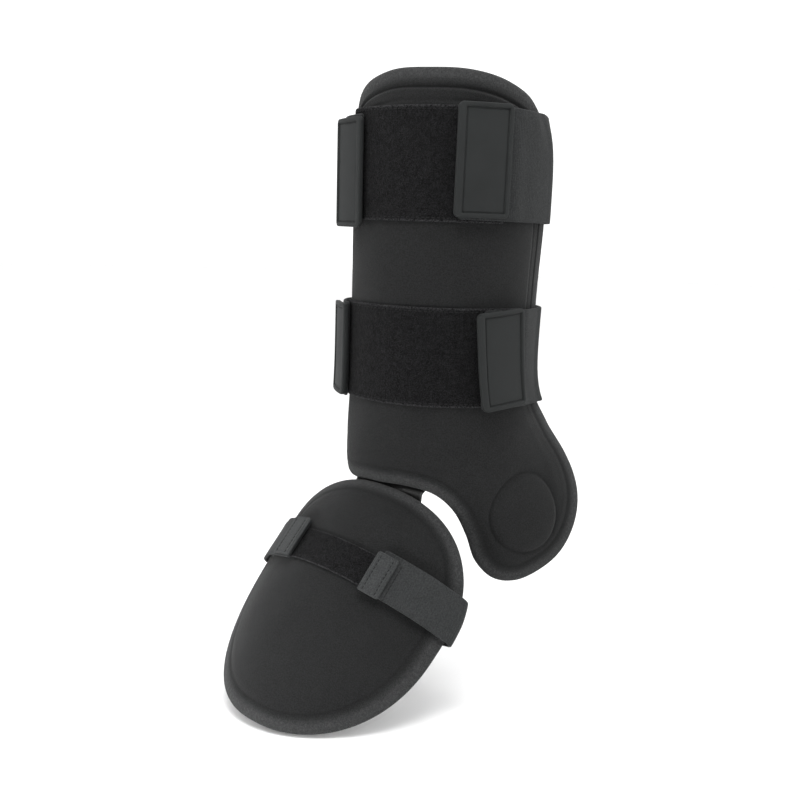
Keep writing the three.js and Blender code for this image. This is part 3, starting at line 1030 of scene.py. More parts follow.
@dataclass(frozen=True)
class FootForm:
    """Arched form of the foot pad and its place under the shin."""

    origin: tuple[float, float, float] = (-8.5, -57.7, -127)
    pitch: float = 48
    roll: float = 10
    yaw: float = -15.5
    length: float = 174
    width: float = 157
    egg: float = -0.08
    blunt_hinge: float = 2.7
    blunt_toe: float = 2.25
    arch: float = 70
    flat_share: float = 0.74
    flat_until: float = 60
    bow: float = 412
    crown: float = 75

    def share(self, along: Array) -> Array:
        """Returns the share of the full arch at a way from the hinge end."""
        return blend(self.flat_share, 1, smooth(along, 0, self.flat_until))

    def height(self, x: Array, along: Array) -> Array:
        """Returns the raised face's height in the foot's frame."""
        fall = (along - self.crown) ** 2 / (2 * self.bow)
        return self.share(along) * self.arch * (np.cos(x / self.arch) - 1) - fall

    def point(self, x: Array, along: Array, out: Array) -> Array:
        """Places points on the pad.

        Args:
            x: way across
            along: way from the hinge end
            out: way out from the raised face

        Returns:
            Points in the foot's frame.
        """
        across = self.share(along) * np.sin(x / self.arch)
        normal = unit(np.column_stack([across, -(along - self.crown) / self.bow, np.ones_like(across)]))
        return np.column_stack([x, -along, self.height(x, along)]) + normal * np.asarray(out)[..., None]

    def half_width(self, along: float) -> float:
        """Measures the pad across.

        Args:
            along: way from the hinge end

        Returns:
            Half its width there.
        """
        t = 2 * along / self.length - 1
        blunt = self.blunt_hinge if t < 0 else self.blunt_toe
        return (1 - abs(t) ** blunt) ** (1 / blunt) * (1 + self.egg * t) * self.width / 2

    def outline(self) -> Array:
        """Draws the pad's blunt oval, from the hinge end.

        Returns:
            Closed line.
        """
        angle = np.linspace(0, 2 * np.pi, OUTLINE_STEPS + 1)
        power = 2 / np.where(np.cos(angle) > 0, self.blunt_hinge, self.blunt_toe)
        t = -np.sign(np.cos(angle)) * np.abs(np.cos(angle)) ** power
        x = -np.sign(np.sin(angle)) * np.abs(np.sin(angle)) ** power * (1 + self.egg * t) * self.width / 2
        return np.column_stack([x, -(1 + t) * self.length / 2])

    def to_guard(self, points: Array) -> Array:
        """Moves points from the foot's frame to the guard's.

        Args:
            points: points in the foot's frame

        Returns:
            Points in the guard's frame.
        """
        turns = ((self.yaw, "Z"), (self.pitch, "X"), (self.roll, "Y"))
        matrix = Matrix.Identity(3)
        for angle, axis in turns:
            matrix = matrix @ Matrix.Rotation(np.radians(angle), 3, axis)
        return points @ np.array(matrix).T + np.array(self.origin)


LEG = LegForm()
FOOT = FootForm()

PATTERN = np.array([
    (16, 134), (-16, 132.8), (-51.5, 121.5), (-70.5, 99), (-74, 60), (-74, -60), (-72.5, -112),
    (-58, -133.5), (-24, -134), (6, -133.5), (26, -137.5), (39.5, -148), (48.5, -164), (55.5, -182),
    (68.5, -194.5), (87, -198), (108, -191.5), (123, -181.5), (136, -163.5), (143, -140), (139.5, -115.5),
    (128, -93.5), (116, -70), (117, -10), (120.5, 50), (116, 95.5), (98, 116), (71, 127.5), (44, 133),
])
SHIN_LINE = curve_through(PATTERN, closed=True)

MOULDED_EDGE = (
    (0, -5.2), (0.15, -4.2), (0.6, -3.35), (1.4, -2.85), (2.6, -2.6), (4.0, -2.45), (5.6, -2.4), (7.2, -2.3),
    (8.4, -2.1), (9.3, -1.75), (10.1, -1.65), (10.9, -1.9), (11.6, -2.45), (12.2, -2.7), (12.7, -2.35),
    (13.3, -1.4), (14.0, -0.75), (14.8, -0.6), (16, -0.7),
)
SHOULDER = 0.7
SOFT_EDGE = (
    (0, -5.2), (0.15, -4.5), (0.6, -3.8), (1.4, -3.25), (3.0, -2.75), (5.6, -2.35), (8.4, -1.95), (9.6, -1.8),
    (10.9, -1.9), (12.2, -1.7), (14.0, -1.15), (16, -0.7),
)
LINING_EDGE = ((0.2, -6.3), (0.9, -7.4), (2.2, -8.0), (9, -8.3), (16, -8.0))


def way_to_edge(s: Array, z: Array, outline: Array = SHIN_LINE) -> Array:
    """Measures the shortest way from flat places to a free edge.

    Args:
        s: places across
        z: places up
        outline: closed line of the edge, the shin's if no other is named

    Returns:
        Ways, in the form of the places.
    """
    line = spread(outline, EDGE_CELLS)
    batches = np.array_split(np.column_stack([np.ravel(s), np.ravel(z)]), EDGE_BATCHES)
    ways = [np.sqrt(((part[:, None] - line[None]) ** 2).sum(-1)).min(1) for part in batches]
    return np.concatenate(ways).reshape(np.shape(s))


@dataclass(frozen=True)
class Groove:
    """Groove along an edge or about a middle: its way from there, its strength and its reach."""

    way: float
    strength: float
    reach: float = 0.75

    def at(self, ways: Array) -> Array:
        """Returns the groove's strength at ways."""
        return self.strength * bell(ways, self.way, self.reach)


# painted shade in the edge's groove, where shadow falls: its way in and its darkness
MOULDED_GROOVE_SHADE = Groove(12.1, 0.42)
SOFT_GROOVE_SHADE = Groove(10.9, 0.3)


def side_at(z: float) -> float:
    """Finds where the free edge on the flap's side crosses a height.

    Args:
        z: the height

    Returns:
        Place across the pattern.
    """
    a, b = SHIN_LINE[:-1], SHIN_LINE[1:]
    cross = ((a[:, 1] - z) * (b[:, 1] - z) <= 0) & (a[:, 1] != b[:, 1])
    a, b = a[cross], b[cross]
    return float((a[:, 0] + (b[:, 0] - a[:, 0]) * (z - a[:, 1]) / (b[:, 1] - a[:, 1])).max())


@dataclass(frozen=True)
class AnkleDome:
    """Round dome on the flap with a groove about it."""

    s: float = 92
    z: float = -151.5
    ways: tuple[float, ...] = (0, 9, 16, 21, 24.2, 25.8, 27.0, 28.2, 29.8, 33)
    rises: tuple[float, ...] = (2.3, 2.2, 1.85, 1.35, 0.8, 0.15, -0.7, -0.4, -0.1, 0)
    # the groove's way, and the darkness of the painted shade in it
    groove: Groove = Groove(27.0, 0.45)
    uneven: float = 0.5

    def reach(self, s: Array, z: Array) -> Array:
        """Returns the way from the dome's middle, on a slightly uneven round."""
        x, y = s - self.s, z - self.z
        return np.hypot(x, y) + self.uneven * np.sin(3 * np.arctan2(y, x) + 1)

    def rise(self, s: Array, z: Array) -> Array:
        """Returns the dome's height over the flap."""
        return eased_rows(self.ways, self.rises, self.reach(s, z))

    def painted_crease_shade(self, s: Array, z: Array) -> Array:
        """Returns the painted shade in the dome's groove."""
        return self.groove.at(self.reach(s, z))


@dataclass(frozen=True)
class LoopCloth:
    """Loop fabric: its edge as ways in and shares of the thickness, its back's edge and its pile.

    Each row of the pile has a weight, a pitch and a seed. The pile fades toward the edge.
    """

    corner: float
    edge: Profile
    back: Profile
    piles: Sequence[tuple[float, float, int]]
    fade: Pair
    pile_height: float = 0.14
    cell: float = 0.9

    def draft(self, width: float, height: float) -> Draft:
        """Draws a rectangle of the fabric on the flat pattern.

        Args:
            width: size across
            height: size up

        Returns:
            The mesh in the making.
        """
        line, corners = rounded_rectangle(width, height, self.corner)
        cells = (int(width / self.cell), int(height / self.cell))
        outer = [(way, share * PANEL_THICK) for way, share in self.edge]
        made = PadShape(line, corners, cells, outer, self.back).draft()
        for flat, out, inset, side in made.rows():
            pile = sum(weight * ripples(*flat.T, pitch, seed) for weight, pitch, seed in self.piles)
            out += self.pile_height * pile * side * smooth(inset, *self.fade)
        return made


@dataclass(frozen=True)
class LoopPanel:
    """Place of a loop panel on the shin's pattern: heights of its edges, and its two ends."""

    name: str
    low: float
    high: float
    left: float
    right: float


@dataclass
class ShinPad:
    """Padded shin shell with its ankle flap and two loop panels."""

    dome: AnkleDome = AnkleDome()
    cells: tuple[int, int] = (220, 220)
    window: int = 11
    corners: tuple[Pair, ...] = ((-62, 111), (-71, -117), (132, -174), (108, 108))
    panels: tuple[LoopPanel, ...] = (
        LoopPanel("upper", low=39.5, high=110.8, left=-48, right=68),
        LoopPanel("lower", low=-78, high=-14, left=-62, right=86),
    )
    panel_dip: Pair = (3, 10)
    panel_cloth: LoopCloth = LoopCloth(
        corner=2.5,
        edge=((0, 0.5), (0.25, 0.85), (0.8, 1), (1.8, 0.97)),
        back=((0.3, 0.1), (1.2, 0)),
        piles=((1, 3.1, 11), (0.7, 1.9, 12)),
        fade=(1, 3),
    )
    seam: Stitching = Stitching()
    seam_inset: float = 2.5
    seam_corner: float = 2.0
    swell: float = 0.15
    swell_pitch: float = 46
    swell_seed: int = 3
    puff: float = 1.0
    rough: float = 0.12
    rough_seed: int = 21
    shoulder: Pair = (15.5, 24)
    second_groove: Groove = Groove(20.4, 0.7, 1.5)
    soft_to_crisp: Pair = (-95, 60)

    def build(self) -> None:
        """Makes the shell and its panels."""
        corners = np.array(self.corners)
        shape = PadShape(SHIN_LINE, corners, self.cells, MOULDED_EDGE, LINING_EDGE, self.window, halved=True)
        draft = shape.draft()
        draft.settle(LEG.wrap, self.bonded, self.puff)
        draft.soften(self.softness)
        draft.roughen(self.rough, self.rough_seed)
        piece = Piece("shin_pad", COVER, Slot.FABRIC, ("shin_shell",))
        piece.sew(draft, LEG.wrap, self.relief, self.painted_shade)
        for panel in self.panels:
            self.lay(panel)

    def relief(self, s: Array, z: Array) -> Array:
        """Shapes the outer face: shoulder, second groove, dome and soft swells.

        Args:
            s: places across
            z: places up

        Returns:
            Heights that the face gains.
        """
        way = way_to_edge(s, z)
        shoulder = SHOULDER * smooth(way, *self.shoulder)
        second = self.second_groove.at(way) * (1 - self.softness(s, z))
        swells = self.swell * ripples(s, z, self.swell_pitch, self.swell_seed)
        return shoulder - second + self.dome.rise(s, z) + swells

    def softness(self, s: Array, z: Array) -> Array:
        """Returns how soft the edge is: crisp at the top and soft at the flap."""
        return 1 - smooth(z, *self.soft_to_crisp)

    def painted_shade(self, s: Array, z: Array, inset: Array) -> Array:
        """Returns the painted shade in the edge's groove and the dome's."""
        groove = blend(MOULDED_GROOVE_SHADE.at(inset), SOFT_GROOVE_SHADE.at(inset), self.softness(s, z))
        return groove + self.dome.painted_crease_shade(s, z)

    def bonded(self, s: Array, z: Array) -> Array:
        """Tells where a panel, a strap or the dome's groove holds the cover down.

        Args:
            s: places across
            z: places up

        Returns:
            Whether each place is held.
        """
        held = self.dome.reach(s, z) < self.dome.groove.way + BOND_SPARE
        for panel in self.panels:
            held |= (z > panel.low - BOND_SPARE) & (z < panel.high + BOND_SPARE)
        return held

    def lay(self, panel: LoopPanel) -> None:
        """Lays one loop panel on the shell and sews it.

        Args:
            panel: the panel's place
        """
        name = f"{panel.name}_loop"
        width, height = panel.right - panel.left, panel.high - panel.low
        middle = ((panel.left + panel.right) / 2, (panel.low + panel.high) / 2)

        def place(x: Array, y: Array, out: Array) -> Array:
            """Lays the panel's places on the body, dipping on to the flange.

            Args:
                x: flat places across
                y: flat places up
                out: heights over the panel's back

            Returns:
                Points in space.
            """
            s, z = x + middle[0], y + middle[1]
            on_body = np.interp(way_to_edge(s, z), self.panel_dip, (0, 1))
            return LEG.wrap(s, z, GAP + out - (1 - on_body) * FLANGE_DIP)

        draft = self.panel_cloth.draft(width, height)
        cloth = Piece(f"{name}_face", LOOP, Slot.LOOP, (f"{name}_panel",)).sew(draft, place)
        inward = 2 * self.seam_inset
        run, _ = rounded_rectangle(width - inward, height - inward, self.seam_corner)
        mesh = self.seam.mesh(f"{name}_seam", [run], place, PANEL_THICK)
        thread = Piece(f"{name}_seam", THREAD, Slot.LOOP).dress(mesh)


@dataclass(frozen=True)
class BandGrid:
    """Middle face of a band: plan points and tangents on a grid along and across."""

    plan: Array
    tangent: Array
    length: float

    @staticmethod
    def from_rows(rows: Sequence[Array], cells: int) -> "BandGrid":
        """Spreads even points along the plan line of each row.

        Args:
            rows: plan lines, one for each row across the band
            cells: cells along the band

        Returns:
            The band's grid.
        """
        plan = np.stack([spread(row, cells) for row in rows], axis=1)
        tangent = unit(np.gradient(plan, axis=0))
        return BandGrid(plan, tangent, float(np.mean([way_along(row)[-1] for row in rows])))

    def at(self, u: Array, v: Array, out: Array) -> Array:
        """Returns plan places at shares along and across the band, a way out from its middle face."""
        p, t = read_grid(self.plan, u, v), read_grid(self.tangent, u, v)
        return p + np.column_stack([t[:, 1], -t[:, 0]]) * np.asarray(out)[..., None]


BAND_CORNER = 1.6
BAND_EDGE = ((0, 0), (0.12, 0.5), (0.45, 0.88), (1.0, 1), (1.5, 1))


def band_draft(length: float, width: float, thick: float, cell: float) -> Draft:
    """Makes a flat band with round edges.

    Args:
        length: size along
        width: size across
        thick: thickness
        cell: size of its cells

    Returns:
        The draft, with heights from the middle face.
    """
    line, corners = rounded_rectangle(length, width, BAND_CORNER)
    outer = [(inset, share * thick / 2) for inset, share in BAND_EDGE]
    inner = [(inset, -out) for inset, out in outer[1:]]
    return PadShape(line, corners, (int(length / cell), int(width / cell)), outer, inner).draft()


@dataclass
class CalfStrap:
    """Wide elastic from the shell's outer side round the calf to its inner side, with two rubber tabs."""

    name: str
    low: float
    high: float
    sag: float
    outer_end: float
    inner_end: float
    panel_end: float
    tabs: tuple["RubberTab", ...]
    over_panel: float = PANEL_THICK + 2 * GAP + 0.4
    over_side: float = 0.7
    step_down: float = 16
    flange_dip: Pair = (2, 13)
    inner_start: float = -84
    outer_points: int = 10
    inner_points: int = 6
    rows: int = 12
    cells: int = 260
    cell: float = 1.4
    wave: float = 0.7
    wave_pitch: float = 48
    wave_seed: int = 31
    wave_from: Pair = (0.3, 0.45)
    wave_to: Pair = (0.6, 0.75)
    calf_turn: tuple[float, ...] = (128, 153, 180, 207, 232, 258)
    calf_draw: tuple[float, ...] = (0.5, 4, 6, 6, 4, 0)

    def plan_row(self, z: float) -> Array:
        """Draws the band's plan line at a height.

        Args:
            z: the height

        Returns:
            Close points of the line.
        """
        side = side_at(z)

        def on_shell(at: Array) -> Array:
            """Follows the band where it lies on the shell.

            Args:
                at: ways from the front line

            Returns:
                Places in plan.
            """
            level = np.full(len(at), z)
            dip = np.where(at > 0, 1 - smooth(way_to_edge(at, level), *self.flange_dip), 0)
            past_panel = smooth(at, self.panel_end, self.panel_end + self.step_down)
            out = blend(self.over_panel, self.over_side, past_panel)
            return LEG.wrap(at, level, out + STRAP_THICK / 2 - dip * FLANGE_DIP)[:, :2]

        turn = np.radians(self.calf_turn)
        reach = LEG.at(LEG.radius, z) - np.array(self.calf_draw)
        calf = np.column_stack([reach * np.sin(turn), LEG.at(LEG.centre, z) - reach * np.cos(turn)])
        outer = on_shell(np.linspace(self.outer_end, side, self.outer_points))
        inner = on_shell(np.linspace(self.inner_start, self.inner_end, self.inner_points))
        return curve_through(np.vstack([outer, calf, inner]))

    def build(self) -> None:
        """Makes the band and its tabs."""
        heights = np.linspace(self.low, self.high, self.rows + 1)
        grid = BandGrid.from_rows([self.plan_row(z) for z in heights], self.cells)
        width = self.high - self.low

        def place(x: Array, y: Array, out: Array) -> Array:
            """Places the band's flat points.

            Args:
                x: flat places along
                y: flat places across
                out: heights from its middle face

            Returns:
                Points in space.
            """
            u, v = x / grid.length + 0.5, y / width + 0.5
            free = smooth(u, *self.wave_from) * (1 - smooth(u, *self.wave_to))
            waves = self.wave * ripples(x, y, self.wave_pitch, self.wave_seed) * free
            plan = grid.at(u, v, out + waves)
            return np.column_stack([plan, blend(self.low, self.high, v) - self.sag * u])

        piece = Piece(f"{self.name}_elastic", ELASTIC, Slot.ELASTIC, (f"{self.name}_strap",))
        band = piece.sew(band_draft(grid.length, width, STRAP_THICK, self.cell), place)
        for tab in self.tabs:
            tab.build(self.over_panel + STRAP_THICK + GAP)


@dataclass
class RubberTab:
    """Moulded rubber tab with a raised frame: place on the pattern, size, tilt and its free end's opening."""

    name: str
    node: str
    s: float
    z: float
    width: float
    height: float
    tilt: float
    opening: float
    bend: float = 110
    thick: float = 3.2
    corner: float = 3.5
    recess: float = 1.0
    frame: float = 2.7
    free_edge: float = 2.2
    slant: Pair = (0.8, 3)
    clear: float = 0.2
    cell: float = 0.8

    def build(self, on_band: float) -> None:
        """Makes the tab.

        Args:
            on_band: height of the band's face under it
        """
        radius = float(LEG.at(LEG.radius, self.z))
        angle = self.s / radius
        opened = angle + np.radians(self.opening)
        half = self.width / 2
        flatter = 0.5 / (radius + on_band) - 0.5 / self.bend
        lifted = half * np.sin(np.radians(abs(self.opening))) - half ** 2 * flatter
        seat = on_band + max(self.clear, lifted + self.clear)
        normal = np.array([np.sin(opened), -np.cos(opened), 0])
        tangent = np.array([np.cos(opened), np.sin(opened), 0])
        c, s = np.cos(np.radians(self.tilt)), np.sin(np.radians(self.tilt))

        def place(x: Array, y: Array, out: Array) -> Array:
            """Places the tab's flat points on its bent form.

            Args:
                x: flat places across
                y: flat places up
                out: heights over the tab's back

            Returns:
                Points in space.
            """
            px, py = x * c - y * s, x * s + y * c
            level = self.z + py
            base = LEG.wrap(angle * LEG.at(LEG.radius, level), level, np.full(len(level), seat))
            turn = px / self.bend
            reach = self.bend + out
            aside, up = reach * np.sin(turn), reach * np.cos(turn) - self.bend
            return base + np.outer(aside, tangent) + np.outer(up, normal)

        line, corners = rounded_rectangle(self.width, self.height, self.corner)
        top, low, rim = self.thick, self.thick - self.recess, self.frame
        outer = (
            (0, 0.5 * top), (0, top - 0.75), (0.1, top - 0.42), (0.35, top - 0.14), (0.75, top),
            (1.6, top + 0.05), (rim - 0.7, top), (rim - 0.3, top - 0.12), (rim, top - 0.4),
            (rim + 0.15, low - 0.1), (rim + 0.4, low - 0.35), (rim + 0.75, low - 0.3),
            (rim + 1.05, low - 0.05), (rim + 1.5, low),
        )
        inner = ((0, 0.4), (0.25, 0.08), (0.8, 0))
        cells = (int(self.width / self.cell), int(self.height / self.cell))
        draft = PadShape(line, corners, cells, outer, inner).draft()
        toward = np.sign(self.s)
        for flat, _, inset, side in draft.rows():
            share = 0.5 - toward * flat[:, 0] / self.width
            flat[:, 0] += toward * self.free_edge * share * smooth(inset, *self.slant) * side
        Piece(self.name, RUBBER, Slot.RUBBER, (self.node,)).sew(draft, place)


@dataclass(frozen=True)
class SewnEnd:
    """Folded end of the foot strap: its two sides, its way from the hinge end and its size across the strap.

    Beside it there may be one more row of stitches, on the strap itself.
    """

    name: str
    node: str
    left: float
    right: float
    along: float
    width: float
    beside: float | None = None


@dataclass
class FootPad:
    """Padded foot shell with its loop strip, elastic strap, sewn strap ends and hinge strip."""

    cells: tuple[int, int] = (150, 180)
    window: int = 9
    toe_corner: Pair = (0.6192, 0.87)
    heel_corner: Pair = (0.72, 0.12)
    swell: float = 0.18
    swell_pitch: float = 44
    swell_seed: int = 5
    puff: float = 0.9
    rough: float = 0.1
    rough_seed: int = 22
    shoulder: Pair = (15.5, 32)
    slant_span: float = 90
    strap_along: float = 59
    strap_slant: float = 1.5
    strap_width: float = 30
    strap_outer: float = 29
    strap_inner: float = -32
    strap_depth: float = 30
    strap_rows: int = 8
    strap_cells: int = 280
    strap_cell: float = 1.1
    rim_clear: float = 0.4
    rim_reach: float = 19
    rim_drop: float = 5.5
    under_drop: float = 11
    under_share: float = 0.9
    under_points: int = 9
    over_points: int = 6
    strip_along: float = 61
    strip_slant: float = 2
    strip_width: float = 22.5
    strip_ends: Pair = (-48, 46)
    strip_cloth: LoopCloth = LoopCloth(
        corner=1.2,
        edge=((0, 0.5), (0.25, 0.85), (0.8, 1)),
        back=((0.3, 0.1), (0.8, 0)),
        piles=((1, 2.6, 13),),
        fade=(0.5, 2),
    )
    sewn_ends: tuple[SewnEnd, ...] = (
        SewnEnd(
            "foot_outer_strap_end", "foot_tab_outer",
            left=26, right=39, along=61.5, width=28, beside=41.2,
        ),
        SewnEnd("foot_inner_strap_end", "foot_tab_inner", left=-48, right=-30, along=59, width=29),
    )
    sewn_cell: float = 0.7
    sewn_lines: Pair = (-0.28, 0.28)
    sewn_sink: float = 0.4
    sewn_reach: float = 0.9
    sewn_puff: float = 0.35
    sewn_puff_fade: Pair = (0.4, 3)
    sewn_sink_fade: Pair = (0.4, 1.5)
    seam: Stitching = Stitching(2.6, 0.7, 0.3)
    seam_margin: float = 1.5
    hem: Stitching = Stitching(2.6, 0.7, 0.35)
    hem_margin: float = 1
    hinge_shin_ends: Pair = (-54, 20)
    hinge_foot_ends: Pair = (-36, 28)
    hinge_heights: Pair = (-117, -133)
    hinge_ways: Pair = (7, 21)
    hinge_tuck: float = 1
    hinge_rows: int = 24
    hinge_cells: int = 60
    hinge_cell: float = 1.2
    hinge_rise: float = 5.5
    hinge_fold: Pair = (0.9, 3)
    hinge_side: Pair = (3, 27)

    def on_pad(self, x: Array, along: Array, out: Array) -> Array:
        """Returns places on the foot pad in the guard's frame."""
        return FOOT.to_guard(FOOT.point(x, along, out))

    def build(self) -> None:
        """Makes the shell and all that is on it."""
        self.shell()
        self.loop_strip()
        self.strap()
        for end in self.sewn_ends:
            self.fold(end)
        self.hinge()

    def shell(self) -> None:
        """Makes the padded shell."""
        line = FOOT.outline()
        size = np.array([FOOT.width / 2, -FOOT.length])
        heel, toe = self.heel_corner * size, self.toe_corner * size
        left = np.array([-1, 1])
        corners = np.array([heel * left, toe * left, toe, heel])
        shape = PadShape(line, corners, self.cells, MOULDED_EDGE, LINING_EDGE, self.window, halved=True)

        def relief(x: Array, y: Array) -> Array:
            """Returns the outer face's shoulder and soft swells."""
            shoulder = SHOULDER * smooth(way_to_edge(x, y, line), *self.shoulder)
            return shoulder + self.swell * ripples(x, y, self.swell_pitch, self.swell_seed)

        def soft(x: Array, y: Array) -> Array:
            """Makes the whole edge soft."""
            return np.ones(len(x))

        def painted_shade(x: Array, y: Array, inset: Array) -> Array:
            """Returns the faint painted shade in the edge's groove."""
            return SOFT_GROOVE_SHADE.at(inset)

        def bonded(x: Array, y: Array) -> Array:
            """Tells where the strip and the strap hold the cover down."""
            return np.abs(-y - self.strap_along) < self.strap_width / 2 + BOND_SPARE

        def place(x: Array, y: Array, out: Array) -> Array:
            """Places the shell's flat points."""
            return self.on_pad(x, -y, out)

        draft = shape.draft()
        draft.settle(place, bonded, self.puff)
        draft.soften(soft)
        draft.roughen(self.rough, self.rough_seed)
        piece = Piece("foot_pad", COVER, Slot.FABRIC, ("foot_shell",))
        piece.sew(draft, place, relief, painted_shade)

    def loop_strip(self) -> None:
        """Lays the loop strip across the pad."""
        left, right = self.strip_ends
        length, middle = right - left, (left + right) / 2

        def place(x: Array, y: Array, out: Array) -> Array:
            """Places the strip's flat points.

            Args:
                x: flat places along the strip
                y: flat places across it
                out: heights over its back

            Returns:
                Points in space.
            """
            across = x + middle
            along = self.strip_along - y + self.strip_slant * across / self.slant_span
            return self.on_pad(across, along, GAP + out)

        draft = self.strip_cloth.draft(length, self.strip_width)
        cloth = Piece("foot_loop_face", LOOP, Slot.LOOP, ("foot_loop_panel",)).sew(draft, place)

    def strap_row(self, v: float) -> Array:
        """Draws the strap's line across the foot.

        Args:
            v: share of the strap's width

        Returns:
            Close points of the line: ways across, and heights in the foot's frame.
        """
        way = self.strap_along + (v - 0.5) * self.strap_width
        seat = STRAP_SEAT + STRAP_THICK / 2
        on_flange = STRAP_THICK / 2 + GAP - FLANGE_DROP
        edge = FOOT.half_width(way) + self.rim_clear
        rim = float(FOOT.height(edge, np.array(way)))

        def over(x: Array) -> Array:
            """Returns places of the strap over the pad."""
            out = blend(seat, on_flange, smooth(np.abs(x), edge - self.rim_reach, edge))
            return FOOT.point(x, np.full(len(x), way), out)[:, [0, 2]]

        across = np.linspace(1, -1, self.under_points)
        depth = self.under_drop + self.strap_depth * (1 - across ** 2)
        under = np.column_stack([across * self.under_share * edge, rim - depth])
        turn = np.array([(edge - self.rim_clear, rim - self.rim_drop)])
        outer = over(np.linspace(self.strap_outer, edge, self.over_points))
        inner = over(np.linspace(-edge, self.strap_inner, self.over_points))
        return curve_through(np.vstack([outer, turn, under, turn * (-1, 1), inner]))

    def strap(self) -> None:
        """Makes the elastic over the pad and under the foot."""
        shares = np.linspace(0, 1, self.strap_rows + 1)
        grid = BandGrid.from_rows([self.strap_row(v) for v in shares], self.strap_cells)

        def place(x: Array, y: Array, out: Array) -> Array:
            """Places the strap's flat points.

            Args:
                x: flat places along the strap
                y: flat places across it
                out: heights from its middle face

            Returns:
                Points in space.
            """
            u, v = x / grid.length + 0.5, y / self.strap_width + 0.5
            plan = grid.at(u, v, out)
            along = self.strap_along + y + self.strap_slant * plan[:, 0] / self.slant_span
            return FOOT.to_guard(np.column_stack([plan[:, 0], -along, plan[:, 1]]))

        piece = Piece("foot_elastic", FOOT_BAND, Slot.ELASTIC, ("foot_strap",))
        band = piece.sew(band_draft(grid.length, self.strap_width, STRAP_THICK, self.strap_cell), place)

    def fold(self, end: SewnEnd) -> None:
        """Makes a folded strap end with its stitches.

        Args:
            end: the end's place and size
        """
        middle, length = (end.left + end.right) / 2, end.right - end.left
        face = SEWN_SEAT + SEWN_THICK / 2

        def place(x: Array, y: Array, out: Array) -> Array:
            """Places the end's flat points.

            Args:
                x: flat places along the strap
                y: flat places across it
                out: heights from its middle face

            Returns:
                Points in space.
            """
            across = x + middle
            along = end.along - y + self.strap_slant * across / self.slant_span
            return self.on_pad(across, along, face + out)

        draft = band_draft(length, end.width, SEWN_THICK, self.sewn_cell)
        lines = [share * length for share in self.sewn_lines]
        for flat, out, inset, side in draft.rows():
            sunk = sum(bell(flat[:, 0], at, self.sewn_reach) for at in lines)
            puff = self.sewn_puff * smooth(inset, *self.sewn_puff_fade)
            out += (puff - self.sewn_sink * sunk * smooth(inset, *self.sewn_sink_fade)) * side
        cloth = Piece(end.name, SEWN, Slot.ELASTIC, (end.node,)).sew(draft, place)

        def stitched(
            row: str, kind: Stitching, at: list[float], margin: float, out: float,
        ) -> bpy.types.Object:
            """Sews rows of stitches across the strap.

            Args:
                row: what the rows are called
                kind: the stitches
                at: flat places of the rows
                margin: way that they keep from the strap's edges
                out: height of the face under the thread

            Returns:
                The linked object.
            """
            name, reach = f"{end.name}_{row}", end.width / 2 - margin
            runs = [np.array([(x, -reach), (x, reach)]) for x in at]
            return Piece(name, THREAD, Slot.ELASTIC).dress(kind.mesh(name, runs, place, out))

        threads = [stitched("seam", self.seam, lines, self.seam_margin, SEWN_THICK / 2)]
        if end.beside is not None:
            on_strap = STRAP_SEAT + STRAP_THICK - face
            threads.append(stitched("hem", self.hem, [end.beside - middle], self.hem_margin, on_strap))

    def hinge(self) -> None:
        """Makes the fabric strip between the shin's lower edge and the foot pad."""
        depth = -SHELL_WALL - 4 * GAP - HINGE_THICK / 2
        heights, ways = np.array(self.hinge_heights, float), np.array(self.hinge_ways, float)
        rows = []
        for v in np.linspace(0, 1, self.hinge_rows + 1):
            s = np.full(2, blend(*self.hinge_shin_ends, v))
            x = np.full(2, blend(*self.hinge_foot_ends, v))
            on_shin = LEG.wrap(s, heights, np.full(2, depth))
            on_foot = self.on_pad(x, ways, np.array([depth - self.hinge_tuck, depth]))
            rows.append(curve_through(np.vstack([on_shin, on_foot])))
        length = float(np.mean([way_along(row)[-1] for row in rows]))
        width = self.hinge_shin_ends[1] - self.hinge_shin_ends[0]
        grid = np.stack([spread(row, self.hinge_cells) for row in rows], axis=1)
        normal = unit(np.cross(np.gradient(grid, axis=0), np.gradient(grid, axis=1)))

        def place(x: Array, y: Array, out: Array) -> Array:
            """Places the strip's flat points, with its fold between the pads.

            Args:
                x: flat places across the strip
                y: flat places along it
                out: heights from its middle face

            Returns:
                Points in space.
            """
            u, v = np.clip(0.5 - y / length, 0, 1), np.clip(x / width + 0.5, 0, 1)
            rise = self.hinge_rise * bell(y, *self.hinge_fold) * smooth(x, *self.hinge_side)
            return read_grid(grid, u, v) + read_grid(normal, u, v) * (out + rise)[:, None]

        draft = band_draft(width, length, HINGE_THICK, self.hinge_cell)
        cloth = Piece("foot_hinge_strip", STRIP, Slot.FABRIC, ("foot_hinge",)).sew(draft, place)


@dataclass(frozen=True)
class SoftLight:
    """Large studio light: place and aim in metres, size and power."""

    name: str
    place: tuple[float, float, float]
    size: Pair
    power: float
    aim: tuple[float, float, float] = (0.0, -0.03, -0.06)

    def build(self) -> None:
        """Adds the light."""
        data = bpy.data.lights.new(self.name, "AREA")
        data.shape = "RECTANGLE"
        data.size, data.size_y = self.size
        data.energy = self.power
        obj = bpy.data.objects.new(self.name, data)
        obj.location = self.place
        obj.rotation_mode = "QUATERNION"
        obj.rotation_quaternion = (Vector(self.aim) - Vector(self.place)).to_track_quat("-Z", "Y")
        bpy.context.scene.collection.objects.link(obj)


